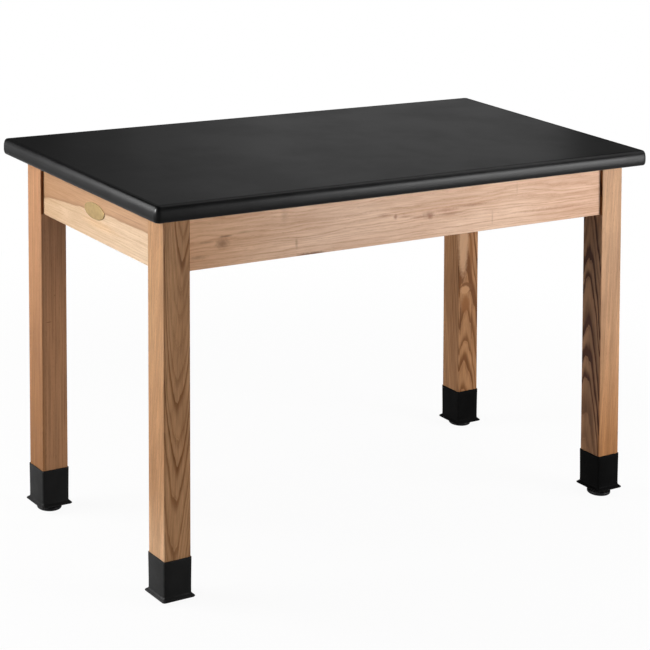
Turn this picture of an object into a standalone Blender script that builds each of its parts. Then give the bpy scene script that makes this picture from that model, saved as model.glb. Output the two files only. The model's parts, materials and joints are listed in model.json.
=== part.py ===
import math

import bmesh
import bpy
from mathutils import Matrix, Vector

# All sizes are in metres. The origin is on the floor under the middle of the
# table, +X runs along its length and +Y towards its rear.

# Running and seating clearance between touching pieces
GAP = 0.0003

# How far a cutter reaches past what it cuts
CUT_PAST = 0.01

# Table top: a board core between two laminates, inside an edge moulding
TABLE_HEIGHT = 0.762
TOP_LENGTH = 1.2192
TOP_WIDTH = 0.6096
TOP_THICKNESS = 0.03175
TOP_CORNER_RADIUS = 0.0095
LAMINATE_THICKNESS = 0.001
BACKER_THICKNESS = 0.0008
MOULDING_WIDTH = 0.0127
MOULDING_ROUNDING = 0.008
TONGUE_LENGTH = 0.009
TONGUE_THICKNESS = 0.0028
TONGUE_TIP = 0.0016

# Legs
LEG_SIZE = 0.05715
LEG_EASING = 0.002
TOP_OVERHANG = 0.0381
LEG_FLAT_CUT = 0.016
LEG_FLAT_HEIGHT = 0.104

# Rails
RAIL_HEIGHT = 0.10795
RAIL_THICKNESS = 0.01905
RAIL_SETBACK = 0.00635
RAIL_EASING = 0.0016

# Corner brackets, bent from sheet steel, each drawing a leg into its corner
BRACKET_THICKNESS = 0.0024
BRACKET_HEIGHT = 0.07
BRACKET_WING = 0.032
BRACKET_LIP = 0.0075
BRACKET_BEND = 0.0015
DRAW_GAP = 0.002
KERF_CLEARANCE = 0.0004
WOOD_SCREW_HOLE = 0.0023
WOOD_SCREW_SPREAD = 0.046

# Hanger bolts and their flanged nuts
BOLT_RADIUS = 0.00397
BOLT_LENGTH = 0.0635
BOLT_SPREAD = 0.038
BOLT_POINT = 0.008
BOLT_CHAMFER = 0.001
BOLT_PAST_NUT = 0.005
BOLT_HOLE_CLEARANCE = 0.0005
NUT_ACROSS_FLATS = 0.0127
NUT_HEIGHT = 0.0085
NUT_FLANGE_RADIUS = 0.009
NUT_FLANGE_EDGE = 0.0011
NUT_FLANGE_HEIGHT = 0.0022

# Clips that hold the top down to the rails
CLIP_THICKNESS = 0.0016
CLIP_WIDTH = 0.019
CLIP_FOOT = 0.0075
CLIP_PAD = 0.018
CLIP_BEND = 0.0018
CLIP_SCREW_HOLE = 0.0022
CLIP_SLOT_DROP = 0.0095
CLIP_SLOT_HEIGHT = 0.0028
CLIP_SLOT_LENGTH = 0.038
CLIPS_ON_LONG_RAIL = 3
CLIPS_ON_SHORT_RAIL = 1
CLIP_END_DISTANCE = 0.19

# Levelling glides: a swivel base on a threaded stud in a flanged insert
GLIDE_TRAVEL = 0.0127
BASE_RADIUS = 0.0254
BASE_RIM_HEIGHT = 0.0075
BASE_ROUNDING = 0.004
BASE_FLOOR = 0.0035
BASE_BOSS_WALL = 0.0046
BASE_BOSS_LIP = 0.001
BALL_RADIUS = 0.0046
STUD_NECK_RADIUS = 0.003
STUD_RADIUS = 0.00397
STUD_CHAMFER = 0.0008
STUD_PAST_INSERT = 0.01
COLLAR_ACROSS_FLATS = 0.0127
COLLAR_HEIGHT = 0.005
INSERT_WALL = 0.0013
INSERT_LENGTH = 0.013
INSERT_FLANGE_WIDTH = 0.0039
INSERT_FLANGE_HEIGHT = 0.0016
STUD_BORE_SPARE = 0.003

# Rubber boots, each pushed up its leg by hand to its own height off the floor
BOOT_HEIGHT = 0.0762
BOOT_WALL = 0.0017
BOOT_DRAW_IN = 0.0005
BOOT_CORNER_RADIUS = 0.0037
BOOT_FLARE = 0.0048
BOOT_FLARE_HEIGHT = 0.009
BOOT_RIM = 0.003
BOOT_LIP_EASING = 0.0006
BOOT_TIP_RADIUS = 0.005
BOOT_LIFT = {
    "front_left": 0.0065,
    "front_right": 0.017,
    "rear_right": 0.011,
    "rear_left": 0.014,
}

# Oval plate on the left end rail
PLATE_LENGTH = 0.0762
PLATE_HEIGHT = 0.03175
PLATE_THICKNESS = 0.0012
PLATE_RIM = 0.0016
PLATE_RECESS = 0.0004
PLATE_RISE = 0.0025

# Facets of round shapes, and of the arcs in their outlines
FINE = 20
COARSE = 16
SMALL = 12
CORNER_STEPS = 6
ROUNDING_STEPS = 5
SOCKET_STEPS = 5
BALL_STEPS = 4
FLARE_STEPS = 4
BEND_STEPS = 3
EASING_STEPS = 2
BOOT_CORNER_STEPS = 3
SMOOTH_ANGLE = 35
MERGE_DISTANCE = 0.00001

# Places that follow from the sizes
LEG_X = TOP_LENGTH / 2 - TOP_OVERHANG - LEG_SIZE / 2
LEG_Y = TOP_WIDTH / 2 - TOP_OVERHANG - LEG_SIZE / 2
TOP_UNDERSIDE = TABLE_HEIGHT - TOP_THICKNESS
FRAME_TOP = TOP_UNDERSIDE - GAP
RAIL_MIDDLE = FRAME_TOP - RAIL_HEIGHT / 2
SOCKET_RADIUS = BALL_RADIUS + GAP
SOCKET_MOUTH = STUD_NECK_RADIUS + GAP
BALL_CENTRE = BASE_FLOOR + SOCKET_RADIUS
SOCKET_TOP = BALL_CENTRE + math.sqrt(SOCKET_RADIUS ** 2 - SOCKET_MOUTH ** 2)
BASE_BOSS_HEIGHT = SOCKET_TOP + BASE_BOSS_LIP
COLLAR_BOTTOM = BASE_BOSS_HEIGHT + GAP
INSERT_RADIUS = STUD_RADIUS + GAP + INSERT_WALL
INSERT_BOTTOM = COLLAR_BOTTOM + COLLAR_HEIGHT + GAP
LEG_FOOT = INSERT_BOTTOM + INSERT_FLANGE_HEIGHT + GAP
STUD_TOP = LEG_FOOT + INSERT_LENGTH + GLIDE_TRAVEL + STUD_PAST_INSERT

# In a corner's own frame the leg's axis is the Z axis and the table's middle
# lies towards +X +Y, so the rails' inner faces are at one X and one Y.
RAIL_FACE = RAIL_SETBACK + RAIL_THICKNESS - LEG_SIZE / 2
LEG_FLAT = (LEG_SIZE - LEG_FLAT_CUT) / math.sqrt(2)
BRACKET_FACE = LEG_FLAT + DRAW_GAP
BEND_X = BRACKET_FACE * math.sqrt(2) - RAIL_FACE - GAP
LIP_X = BEND_X + BRACKET_WING
NUT_SEAT = BRACKET_FACE + BRACKET_THICKNESS + GAP
BOLT_END = NUT_SEAT + NUT_HEIGHT + BOLT_PAST_NUT

# Each corner is the front left one, turned about the table's middle
CORNERS = {
    "front_left": (-1, -1, 0),
    "front_right": (1, -1, 90),
    "rear_right": (1, 1, 180),
    "rear_left": (-1, 1, 270),
}

# Base colour, roughness and metallic value of each finish
FINISHES = {
    "black_laminate": ((0.018, 0.018, 0.019), 0.42, 0.0),
    "black_moulding": ((0.022, 0.022, 0.023), 0.38, 0.0),
    "board": ((0.40, 0.27, 0.15), 0.85, 0.0),
    "brown_backer": ((0.09, 0.06, 0.04), 0.7, 0.0),
    "leg_ash": ((0.42, 0.24, 0.12), 0.45, 0.0),
    "rail_ash": ((0.58, 0.35, 0.20), 0.45, 0.0),
    "zinc_plate": ((0.62, 0.62, 0.60), 0.35, 1.0),
    "black_rubber": ((0.017, 0.017, 0.018), 0.6, 0.0),
    "black_nylon": ((0.013, 0.013, 0.013), 0.45, 0.0),
    "gilt_plate": ((0.55, 0.42, 0.17), 0.35, 1.0),
}


# Scene helpers

def clear_scene():
    for obj in list(bpy.data.objects):
        bpy.data.objects.remove(obj, do_unlink=True)


def new_collection(name):
    collection = bpy.data.collections.new(name)
    bpy.context.scene.collection.children.link(collection)
    return collection


def make_materials():
    for name, (colour, roughness, metallic) in FINISHES.items():
        material = bpy.data.materials.new(name)
        material.use_nodes = True
        shader = material.node_tree.nodes["Principled BSDF"]
        shader.inputs["Base Color"].default_value = (*colour, 1.0)
        shader.inputs["Roughness"].default_value = roughness
        shader.inputs["Metallic"].default_value = metallic
        material.diffuse_color = (*colour, 1.0)


def mesh_of(bm, name):
    bmesh.ops.recalc_face_normals(bm, faces=bm.faces)
    mesh = bpy.data.meshes.new(name)
    bm.to_mesh(mesh)
    bm.free()
    return mesh


def place(name, mesh, finish, parent=None, location=(0, 0, 0), rotation=(0, 0, 0)):
    """A sub-part: its mesh, finish and place. Rotation is in degrees."""
    if not mesh.materials:
        mesh.materials.append(bpy.data.materials[finish])
    obj = bpy.data.objects.new(name, mesh)
    obj.parent = parent
    obj.location = location
    obj.rotation_euler = [math.radians(angle) for angle in rotation]
    parts.objects.link(obj)
    return obj


def empty(name, location, turn):
    obj = bpy.data.objects.new(name, None)
    obj.empty_display_size = LEG_SIZE
    obj.location = location
    obj.rotation_euler.z = math.radians(turn)
    parts.objects.link(obj)
    return obj


def cutter(name, mesh):
    obj = bpy.data.objects.new(name, mesh)
    obj.display_type = "WIRE"
    obj.hide_render = True
    cutters.objects.link(obj)
    return obj


def shaped(mesh, steps):
    """The mesh that a mesh becomes under Boolean steps (operation, tool mesh)."""
    blank = cutter(mesh.name + "_blank", mesh)
    for number, (operation, tool) in enumerate(steps, 1):
        boolean = blank.modifiers.new(f"Step {number}", "BOOLEAN")
        boolean.operation = operation
        boolean.solver = "EXACT"
        boolean.object = cutter(f"{mesh.name}_step_{number}", tool)
    return evaluated(blank)


def evaluated(obj):
    bpy.context.view_layer.update()
    graph = bpy.context.evaluated_depsgraph_get()
    mesh = bpy.data.meshes.new_from_object(obj.evaluated_get(graph))
    mesh.name = obj.name + "_made"
    return mesh


def smooth(mesh):
    mesh.shade_smooth()
    mesh.set_sharp_from_angle(angle=math.radians(SMOOTH_ANGLE))
    return mesh


# Shape helpers

def add_box(bm, low, high, turn=Matrix()):
    low, high = Vector(low), Vector(high)
    size = Matrix.Diagonal((*(high - low), 1))
    placed = turn @ Matrix.Translation((low + high) / 2) @ size
    return bmesh.ops.create_cube(bm, size=1, matrix=placed)["verts"]


def add_rod(bm, radius, start, end, segments=COARSE):
    start, end = Vector(start), Vector(end)
    axis = end - start
    turn = axis.to_track_quat("Z", "Y").to_matrix().to_4x4()
    placed = Matrix.Translation((start + end) / 2) @ turn
    bmesh.ops.create_cone(bm, cap_ends=True, segments=segments, radius1=radius,
                          radius2=radius, depth=axis.length, matrix=placed)


def edges_along(bm, axis):
    """Edges that run along one axis, 0 to 2."""
    found = []
    for edge in bm.edges:
        run = edge.verts[1].co - edge.verts[0].co
        if abs(run[axis]) > 0.999 * run.length:
            found.append(edge)
    return found


def round_edges(bm, edges, radius, segments):
    bmesh.ops.bevel(bm, geom=edges, offset=radius, offset_type="OFFSET", segments=segments,
                    profile=0.5, affect="EDGES", clamp_overlap=True)


def box_mesh(name, low, high, turn=Matrix()):
    bm = bmesh.new()
    add_box(bm, low, high, turn)
    return mesh_of(bm, name)


def rods_mesh(name, radius, runs, segments=COARSE):
    bm = bmesh.new()
    for start, end in runs:
        add_rod(bm, radius, start, end, segments)
    return mesh_of(bm, name)


def slab_mesh(name, length, width, radius, low, high):
    """A board between two heights, with rounded corners if it has a radius."""
    bm = bmesh.new()
    add_box(bm, (-length / 2, -width / 2, low), (length / 2, width / 2, high))
    if radius > 0:
        round_edges(bm, edges_along(bm, 2), radius, CORNER_STEPS)
    return mesh_of(bm, name)


def rounded_loop(bm, half_x, half_y, radius, height, steps):
    """Vertices round a rectangle; without a radius each corner's all lie together."""
    loop = []
    for quarter, (side_x, side_y) in enumerate(((1, 1), (-1, 1), (-1, -1), (1, -1))):
        centre = (side_x * (half_x - radius), side_y * (half_y - radius))
        for x, y in arc(centre, radius, 90 * quarter, 90 * (quarter + 1), steps):
            loop.append(bm.verts.new((x, y, height)))
    return loop


def join_loops(bm, loops):
    """Faces from each loop to the next and from the last to the first."""
    for first, second in zip(loops, loops[1:] + loops[:1]):
        sides = zip(first, first[1:] + first[:1], second[1:] + second[:1], second)
        for corners in sides:
            bm.faces.new(corners)
    bmesh.ops.remove_doubles(bm, verts=bm.verts, dist=MERGE_DISTANCE)


def turned(name, profile, steps=COARSE, closed=False):
    """A mesh turned about Z from points (radius, height)."""
    outline = bpy.data.meshes.new(name + "_profile")
    count = len(profile)
    edges = [(i, i + 1) for i in range(count - 1)]
    if closed:
        edges.append((count - 1, 0))
    outline.from_pydata([(radius, 0, height) for radius, height in profile], edges, [])
    lathe = cutter(name, outline)
    screw = lathe.modifiers.new("Turn", "SCREW")
    screw.angle = math.tau
    screw.steps = steps
    screw.render_steps = steps
    screw.use_merge_vertices = True
    screw.merge_threshold = MERGE_DISTANCE
    return evaluated(lathe)


def arc(centre, radius, start, end, steps):
    """Points on an arc in a profile's plane, angles in degrees from +X."""
    points = []
    for step in range(steps + 1):
        angle = math.radians(start + (end - start) * step / steps)
        points.append((centre[0] + radius * math.cos(angle), centre[1] + radius * math.sin(angle)))
    return points


def hexagon(name, across_flats, low, high):
    """A six-sided prism round Z."""
    bm = bmesh.new()
    add_rod(bm, across_flats / math.sqrt(3), (0, 0, low), (0, 0, high), segments=6)
    return mesh_of(bm, name)


def bent_strip(name, path, width, thickness, bend):
    """Sheet metal bent along a path in the XY plane, as wide as stated along Z.
    Its thickness lies to the right of the path."""
    bm = bmesh.new()
    points = [bm.verts.new((x, y, -width / 2)) for x, y in path]
    line = [bm.edges.new(pair) for pair in zip(points, points[1:])]
    made = bmesh.ops.extrude_edge_only(bm, edges=line)["geom"]
    raised = [item for item in made if isinstance(item, bmesh.types.BMVert)]
    bmesh.ops.translate(bm, verts=raised, vec=(0, 0, width))
    folds = [edge for edge in edges_along(bm, 2) if len(edge.link_faces) == 2]
    round_edges(bm, folds, bend, BEND_STEPS)
    sheet = bpy.data.meshes.new(name + "_sheet")
    bm.to_mesh(sheet)
    bm.free()
    blank = cutter(name, sheet)
    wall = blank.modifiers.new("Thickness", "SOLIDIFY")
    wall.thickness = thickness
    wall.offset = -1.0
    wall.use_even_offset = True
    return evaluated(blank)


def around_top(name, section):
    """A closed section of points (inset from the top's edge, height), carried round the top."""
    bm = bmesh.new()
    loops = []
    for inset, height in section:
        radius = max(TOP_CORNER_RADIUS - inset, 0)
        loops.append(rounded_loop(bm, TOP_LENGTH / 2 - inset, TOP_WIDTH / 2 - inset, radius,
                                  height, CORNER_STEPS))
    join_loops(bm, loops)
    return mesh_of(bm, name)


# Table top

def make_top():
    inset = MOULDING_WIDTH + GAP
    length = TOP_LENGTH - 2 * inset
    width = TOP_WIDTH - 2 * inset
    radius = TOP_CORNER_RADIUS - inset
    laminate_bottom = TABLE_HEIGHT - LAMINATE_THICKNESS
    backer_top = TOP_UNDERSIDE + BACKER_THICKNESS
    middle = TABLE_HEIGHT - TOP_THICKNESS / 2

    laminate = slab_mesh("laminate", length, width, radius, laminate_bottom, TABLE_HEIGHT)
    place("top_laminate", laminate, "black_laminate")
    backer = slab_mesh("backer", length, width, radius, TOP_UNDERSIDE, backer_top)
    place("top_backer", backer, "brown_backer")

    core = slab_mesh("core", length, width, radius, backer_top + GAP, laminate_bottom - GAP)
    groove_half = TONGUE_THICKNESS / 2 + GAP
    groove_end = MOULDING_WIDTH + TONGUE_LENGTH + GAP
    groove = around_top("core_groove", [
        (MOULDING_WIDTH, middle - groove_half),
        (groove_end, middle - groove_half),
        (groove_end, middle + groove_half),
        (MOULDING_WIDTH, middle + groove_half),
    ])
    place("top_core", shaped(core, [("DIFFERENCE", groove)]), "board")

    rounding = min(MOULDING_ROUNDING, TOP_THICKNESS / 2 - GAP, MOULDING_WIDTH - GAP)
    lower = arc((rounding, TOP_UNDERSIDE + rounding), rounding, 270, 180, ROUNDING_STEPS)
    upper = arc((rounding, TABLE_HEIGHT - rounding), rounding, 180, 90, ROUNDING_STEPS)
    tongue = [
        (MOULDING_WIDTH, middle + TONGUE_THICKNESS / 2),
        (MOULDING_WIDTH + TONGUE_LENGTH, middle + TONGUE_TIP / 2),
        (MOULDING_WIDTH + TONGUE_LENGTH, middle - TONGUE_TIP / 2),
        (MOULDING_WIDTH, middle - TONGUE_THICKNESS / 2),
    ]
    section = lower + upper + [(MOULDING_WIDTH, TABLE_HEIGHT)] + tongue
    section.append((MOULDING_WIDTH, TOP_UNDERSIDE))
    place("edge_moulding", smooth(around_top("moulding", section)), "black_moulding")


# Legs, boots and glides, in a corner's own frame

def inward(distance, height):
    """A point that far from the leg's axis towards the table's middle."""
    along = distance / math.sqrt(2)
    return Vector((along, along, height))


def leg_mesh():
    half = LEG_SIZE / 2
    bm = bmesh.new()
    add_box(bm, (-half, -half, LEG_FOOT), (half, half, FRAME_TOP))
    round_edges(bm, edges_along(bm, 2), LEG_EASING, EASING_STEPS)
    blank = mesh_of(bm, "leg")

    flat = box_mesh(
        "leg_flat",
        (LEG_FLAT, -LEG_SIZE, FRAME_TOP - LEG_FLAT_HEIGHT),
        (LEG_FLAT + LEG_SIZE, LEG_SIZE, FRAME_TOP + CUT_PAST),
        Matrix.Rotation(math.pi / 4, 4, "Z"),
    )
    foot_bore = turned("leg_foot_bore", [
        (0, STUD_TOP + STUD_BORE_SPARE),
        (STUD_RADIUS + 2 * GAP, STUD_TOP + STUD_BORE_SPARE),
        (STUD_RADIUS + 2 * GAP, LEG_FOOT + INSERT_LENGTH + GAP),
        (INSERT_RADIUS + GAP, LEG_FOOT + INSERT_LENGTH + GAP),
        (INSERT_RADIUS + GAP, LEG_FOOT - CUT_PAST),
        (0, LEG_FOOT - CUT_PAST),
    ])
    bolt_bores = rods_mesh("leg_bolt_bores", BOLT_RADIUS + GAP, [
        (inward(BOLT_END - BOLT_LENGTH - GAP, height), inward(LEG_FLAT + CUT_PAST, height))
        for height in bolt_heights().values()
    ])
    return smooth(shaped(blank, [
        ("DIFFERENCE", flat), ("DIFFERENCE", foot_bore), ("DIFFERENCE", bolt_bores)]))


def boot_mesh():
    inner = LEG_SIZE / 2 + GAP
    outer = inner + BOOT_WALL
    waist = outer - BOOT_DRAW_IN
    flare_foot = outer + BOOT_FLARE
    inner_radius = LEG_EASING
    # Half width, corner radius and height of each row, up the outside, then down the bore
    rows = [
        (flare_foot - BOOT_RIM / 2, BOOT_TIP_RADIUS, 0),
        (flare_foot, BOOT_TIP_RADIUS, BOOT_RIM / 2),
    ]
    for step in range(1, FLARE_STEPS + 1):
        share = step / FLARE_STEPS
        swell = BOOT_FLARE * (1 - share) ** 2
        corner = BOOT_TIP_RADIUS + (BOOT_CORNER_RADIUS - BOOT_TIP_RADIUS) * share
        rise = BOOT_RIM + (BOOT_FLARE_HEIGHT - BOOT_RIM) * share
        rows.append((waist + swell, corner, rise))
    rows += [
        (outer, BOOT_CORNER_RADIUS, BOOT_HEIGHT - BOOT_LIP_EASING),
        (outer - BOOT_LIP_EASING, BOOT_CORNER_RADIUS, BOOT_HEIGHT),
        (inner, inner_radius, BOOT_HEIGHT),
        (inner, inner_radius, BOOT_FLARE_HEIGHT / 2),
        (inner + BOOT_FLARE / 2, inner_radius, 0),
    ]
    bm = bmesh.new()
    join_loops(bm, [rounded_loop(bm, half, half, radius, height, BOOT_CORNER_STEPS)
                    for half, radius, height in rows])
    return smooth(mesh_of(bm, "boot"))


def glide_base_mesh():
    mouth_angle = math.degrees(math.acos(SOCKET_MOUTH / SOCKET_RADIUS))
    socket_wall = arc((0, BALL_CENTRE), SOCKET_RADIUS, -90, mouth_angle, SOCKET_STEPS)
    rim_middle = (BASE_RADIUS - BASE_ROUNDING, BASE_ROUNDING)
    rim = arc(rim_middle, BASE_ROUNDING, 0, -90, EASING_STEPS)
    boss_radius = SOCKET_RADIUS + BASE_BOSS_WALL
    profile = socket_wall + [
        (SOCKET_MOUTH, BASE_BOSS_HEIGHT),
        (boss_radius, BASE_BOSS_HEIGHT),
        (boss_radius, BASE_RIM_HEIGHT + BASE_ROUNDING / 2),
        (BASE_RADIUS - BASE_ROUNDING, BASE_RIM_HEIGHT),
        (BASE_RADIUS, BASE_RIM_HEIGHT - BASE_ROUNDING / 2),
    ] + rim + [(0, 0)]
    return smooth(turned("glide_base", profile, FINE))


def glide_stud_mesh():
    neck_angle = math.degrees(math.acos(STUD_NECK_RADIUS / BALL_RADIUS))
    profile = [
        (0, STUD_TOP),
        (STUD_RADIUS - STUD_CHAMFER, STUD_TOP),
        (STUD_RADIUS, STUD_TOP - STUD_CHAMFER),
        (STUD_RADIUS, COLLAR_BOTTOM + COLLAR_HEIGHT / 2),
        (STUD_NECK_RADIUS, COLLAR_BOTTOM + COLLAR_HEIGHT / 2),
    ] + arc((0, BALL_CENTRE), BALL_RADIUS, neck_angle, -90, BALL_STEPS)
    shank = turned("glide_stud", profile, COARSE)
    collar = hexagon("stud_collar", COLLAR_ACROSS_FLATS, COLLAR_BOTTOM,
                     COLLAR_BOTTOM + COLLAR_HEIGHT)
    return smooth(shaped(shank, [("UNION", collar)]))


def glide_insert_mesh():
    bore = STUD_RADIUS + GAP
    top = LEG_FOOT + INSERT_LENGTH
    flange_radius = INSERT_RADIUS + INSERT_FLANGE_WIDTH
    flange_top = INSERT_BOTTOM + INSERT_FLANGE_HEIGHT
    return smooth(turned("glide_insert", [
        (bore, top),
        (INSERT_RADIUS, top),
        (INSERT_RADIUS, flange_top),
        (flange_radius, flange_top),
        (flange_radius, INSERT_BOTTOM),
        (bore, INSERT_BOTTOM),
    ], COARSE, closed=True))


# Corner brackets, hanger bolts and nuts, in a corner's own frame

def bolt_heights():
    return {"lower": RAIL_MIDDLE - BOLT_SPREAD / 2, "upper": RAIL_MIDDLE + BOLT_SPREAD / 2}


def bracket_mesh():
    """Centred on Z at the bracket's own mid height."""
    seat = RAIL_FACE + GAP
    wing = [(LIP_X, seat - BRACKET_LIP), (LIP_X, seat), (BEND_X, seat)]
    path = wing + [(y, x) for x, y in reversed(wing)]
    sheet = bent_strip("bracket", path, BRACKET_HEIGHT, BRACKET_THICKNESS, BRACKET_BEND)

    bolt_holes = rods_mesh("bracket_bolt_holes", BOLT_RADIUS + BOLT_HOLE_CLEARANCE, [
        (inward(LEG_FLAT, height), inward(BOLT_END, height))
        for height in (-BOLT_SPREAD / 2, BOLT_SPREAD / 2)
    ])
    along = (BEND_X + LIP_X) / 2
    near, far = seat - CUT_PAST, seat + CUT_PAST
    screw_runs = []
    for height in (-WOOD_SCREW_SPREAD / 2, WOOD_SCREW_SPREAD / 2):
        screw_runs.append(((along, near, height), (along, far, height)))
        screw_runs.append(((near, along, height), (far, along, height)))
    screw_holes = rods_mesh("bracket_screw_holes", WOOD_SCREW_HOLE, screw_runs, SMALL)
    return smooth(shaped(sheet, [("DIFFERENCE", bolt_holes), ("DIFFERENCE", screw_holes)]))


def hanger_bolt_mesh():
    """Along Z, with the leg's axis at its origin."""
    tail = BOLT_END - BOLT_LENGTH
    return smooth(turned("hanger_bolt", [
        (0, BOLT_END),
        (BOLT_RADIUS - BOLT_CHAMFER, BOLT_END),
        (BOLT_RADIUS, BOLT_END - BOLT_CHAMFER),
        (BOLT_RADIUS, tail + BOLT_POINT),
        (0, tail),
    ], COARSE))


def nut_mesh():
    """Along Z, with its seat at its origin."""
    corner = NUT_ACROSS_FLATS / math.sqrt(3)
    flat = NUT_ACROSS_FLATS / 2
    blank = hexagon("nut", NUT_ACROSS_FLATS, NUT_FLANGE_EDGE, NUT_HEIGHT)
    chamfer = turned("nut_chamfer", [
        (0, NUT_HEIGHT + GAP),
        (flat, NUT_HEIGHT + GAP),
        (corner + GAP, NUT_HEIGHT - (corner - flat)),
        (corner + GAP, 0),
        (0, 0),
    ], SMALL)
    flange = turned("nut_flange", [
        (0, NUT_FLANGE_HEIGHT),
        (flat, NUT_FLANGE_HEIGHT),
        (NUT_FLANGE_RADIUS, NUT_FLANGE_EDGE),
        (NUT_FLANGE_RADIUS, 0),
        (0, 0),
    ], COARSE)
    bore = rods_mesh("nut_bore", BOLT_RADIUS + GAP, [
        ((0, 0, -CUT_PAST), (0, 0, NUT_HEIGHT + CUT_PAST))])
    return smooth(shaped(blank, [
        ("INTERSECT", chamfer), ("UNION", flange), ("DIFFERENCE", bore)]))


def make_corners():
    leg = leg_mesh()
    boot = boot_mesh()
    base = glide_base_mesh()
    stud = glide_stud_mesh()
    insert = glide_insert_mesh()
    bracket = bracket_mesh()
    bolt = hanger_bolt_mesh()
    nut = nut_mesh()
    towards_middle = (0, 90, 45)
    for corner, (side_x, side_y, turn) in CORNERS.items():
        frame = empty("corner_" + corner, (side_x * LEG_X, side_y * LEG_Y, 0), turn)
        place("leg_" + corner, leg, "leg_ash", frame)
        place("boot_" + corner, boot, "black_rubber", frame, (0, 0, BOOT_LIFT[corner]))
        place("glide_insert_" + corner, insert, "zinc_plate", frame)
        place("glide_stud_" + corner, stud, "zinc_plate", frame)
        place("glide_base_" + corner, base, "black_nylon", frame)
        place("corner_bracket_" + corner, bracket, "zinc_plate", frame, (0, 0, RAIL_MIDDLE))
        for row, height in bolt_heights().items():
            place(f"hanger_bolt_{corner}_{row}", bolt, "zinc_plate", frame, (0, 0, height),
                  towards_middle)
            seat = NUT_SEAT / math.sqrt(2)
            place(f"bracket_nut_{corner}_{row}", nut, "zinc_plate", frame, (seat, seat, height),
                  towards_middle)


# Rails and clips: in a side's own frame the rail's inner face is at Y zero

def clip_places(leg_distance, count):
    """Distances along a rail at which its clips stand."""
    reach = leg_distance - CLIP_END_DISTANCE
    return [reach * (2 * i / (count - 1) - 1) for i in range(count)] if count > 1 else [0.0]


def rail_mesh(name, leg_distance, clips):
    half = leg_distance - LEG_SIZE / 2 - GAP
    bm = bmesh.new()
    add_box(bm, (-half, -RAIL_THICKNESS, -RAIL_HEIGHT / 2), (half, 0, RAIL_HEIGHT / 2))
    lower = [edge for edge in edges_along(bm, 0) if edge.verts[0].co.z < 0]
    round_edges(bm, lower, RAIL_EASING, EASING_STEPS)
    blank = mesh_of(bm, name)

    # Upright kerfs for the brackets' lips
    kerfs = bmesh.new()
    kerf_reach = RAIL_HEIGHT / 2 + CUT_PAST
    lip_near = leg_distance - LIP_X + BRACKET_BEND
    lip_far = leg_distance - LIP_X - BRACKET_THICKNESS - KERF_CLEARANCE
    depth = BRACKET_LIP + KERF_CLEARANCE
    for side in (-1, 1):
        low, high = sorted((side * lip_near, side * lip_far))
        add_box(kerfs, (low, -depth, -kerf_reach), (high, CUT_PAST, kerf_reach))

    # Level slots for the clips' feet, a little wider than the clips
    slots = bmesh.new()
    top = RAIL_HEIGHT / 2 - CLIP_SLOT_DROP
    for along in clips:
        add_box(slots, (along - CLIP_SLOT_LENGTH / 2, -CLIP_FOOT - GAP, top - CLIP_SLOT_HEIGHT),
                (along + CLIP_SLOT_LENGTH / 2, CUT_PAST, top))
    return shaped(blank, [
        ("DIFFERENCE", mesh_of(kerfs, name + "_kerfs")),
        ("DIFFERENCE", mesh_of(slots, name + "_slots"))])


def clip_mesh():
    """X away from the rail, Y up from the rail's top edge, Z along the rail."""
    foot = -CLIP_SLOT_DROP - GAP
    path = [(-CLIP_FOOT, foot), (CLIP_BEND, foot), (CLIP_BEND, 0), (CLIP_PAD, 0)]
    sheet = bent_strip("clip", path, CLIP_WIDTH, CLIP_THICKNESS, CLIP_BEND)
    across = (CLIP_PAD + CLIP_THICKNESS) / 2
    hole = rods_mesh("clip_hole", CLIP_SCREW_HOLE, [
        ((across, -CUT_PAST, 0), (across, CUT_PAST, 0))], SMALL)
    return smooth(shaped(sheet, [("DIFFERENCE", hole)]))


def plate_mesh():
    """An oval plate lying in XY with a raised rim, its back at Z zero."""
    bm = bmesh.new()
    stretch = Matrix.Diagonal((PLATE_LENGTH / 2, PLATE_HEIGHT / 2, PLATE_THICKNESS, 1))
    lift = Matrix.Translation((0, 0, PLATE_THICKNESS / 2))
    bmesh.ops.create_cone(bm, cap_ends=True, segments=2 * FINE, radius1=1, radius2=1, depth=1,
                          matrix=lift @ stretch)
    face = max(bm.faces, key=lambda item: item.calc_center_median().z)
    bmesh.ops.inset_region(bm, faces=[face], thickness=PLATE_RIM, depth=0)
    bmesh.ops.inset_region(bm, faces=[face], thickness=PLATE_RECESS, depth=-PLATE_RECESS)
    return smooth(mesh_of(bm, "plate"))


def make_sides():
    clip = clip_mesh()
    long_clips = clip_places(LEG_X, CLIPS_ON_LONG_RAIL)
    short_clips = clip_places(LEG_Y, CLIPS_ON_SHORT_RAIL)
    # Rail's name, distance between its legs' axes, distance out, turn and clips
    sides = (
        ("front", "front_rail", LEG_X, LEG_Y, 0, long_clips),
        ("right", "right_end_rail", LEG_Y, LEG_X, 90, short_clips),
        ("rear", "rear_rail", LEG_X, LEG_Y, 180, long_clips),
        ("left", "left_end_rail", LEG_Y, LEG_X, 270, short_clips),
    )
    for side, rail, leg_distance, out, turn, clips in sides:
        frame = empty("side_" + side, (0, 0, 0), turn)
        face = RAIL_FACE - out
        mesh = rail_mesh(rail, leg_distance, clips)
        place(rail, mesh, "rail_ash", frame, (0, face, RAIL_MIDDLE))
        for number, along in enumerate(clips, 1):
            place(f"top_clip_{side}_{number}", clip, "zinc_plate", frame,
                  (along, face, FRAME_TOP), (90, 0, 90))
        if side == "left":
            outside = face - RAIL_THICKNESS - GAP
            place("oval_plate", plate_mesh(), "gilt_plate", frame,
                  (0, outside, RAIL_MIDDLE + PLATE_RISE), (90, 0, 0))


clear_scene()
parts = new_collection("science_lab_table")
cutters = new_collection("cutters")
make_materials()
make_top()
make_corners()
make_sides()
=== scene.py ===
import json
import math
import bmesh
import bpy
from mathutils import Matrix, Vector

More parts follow.
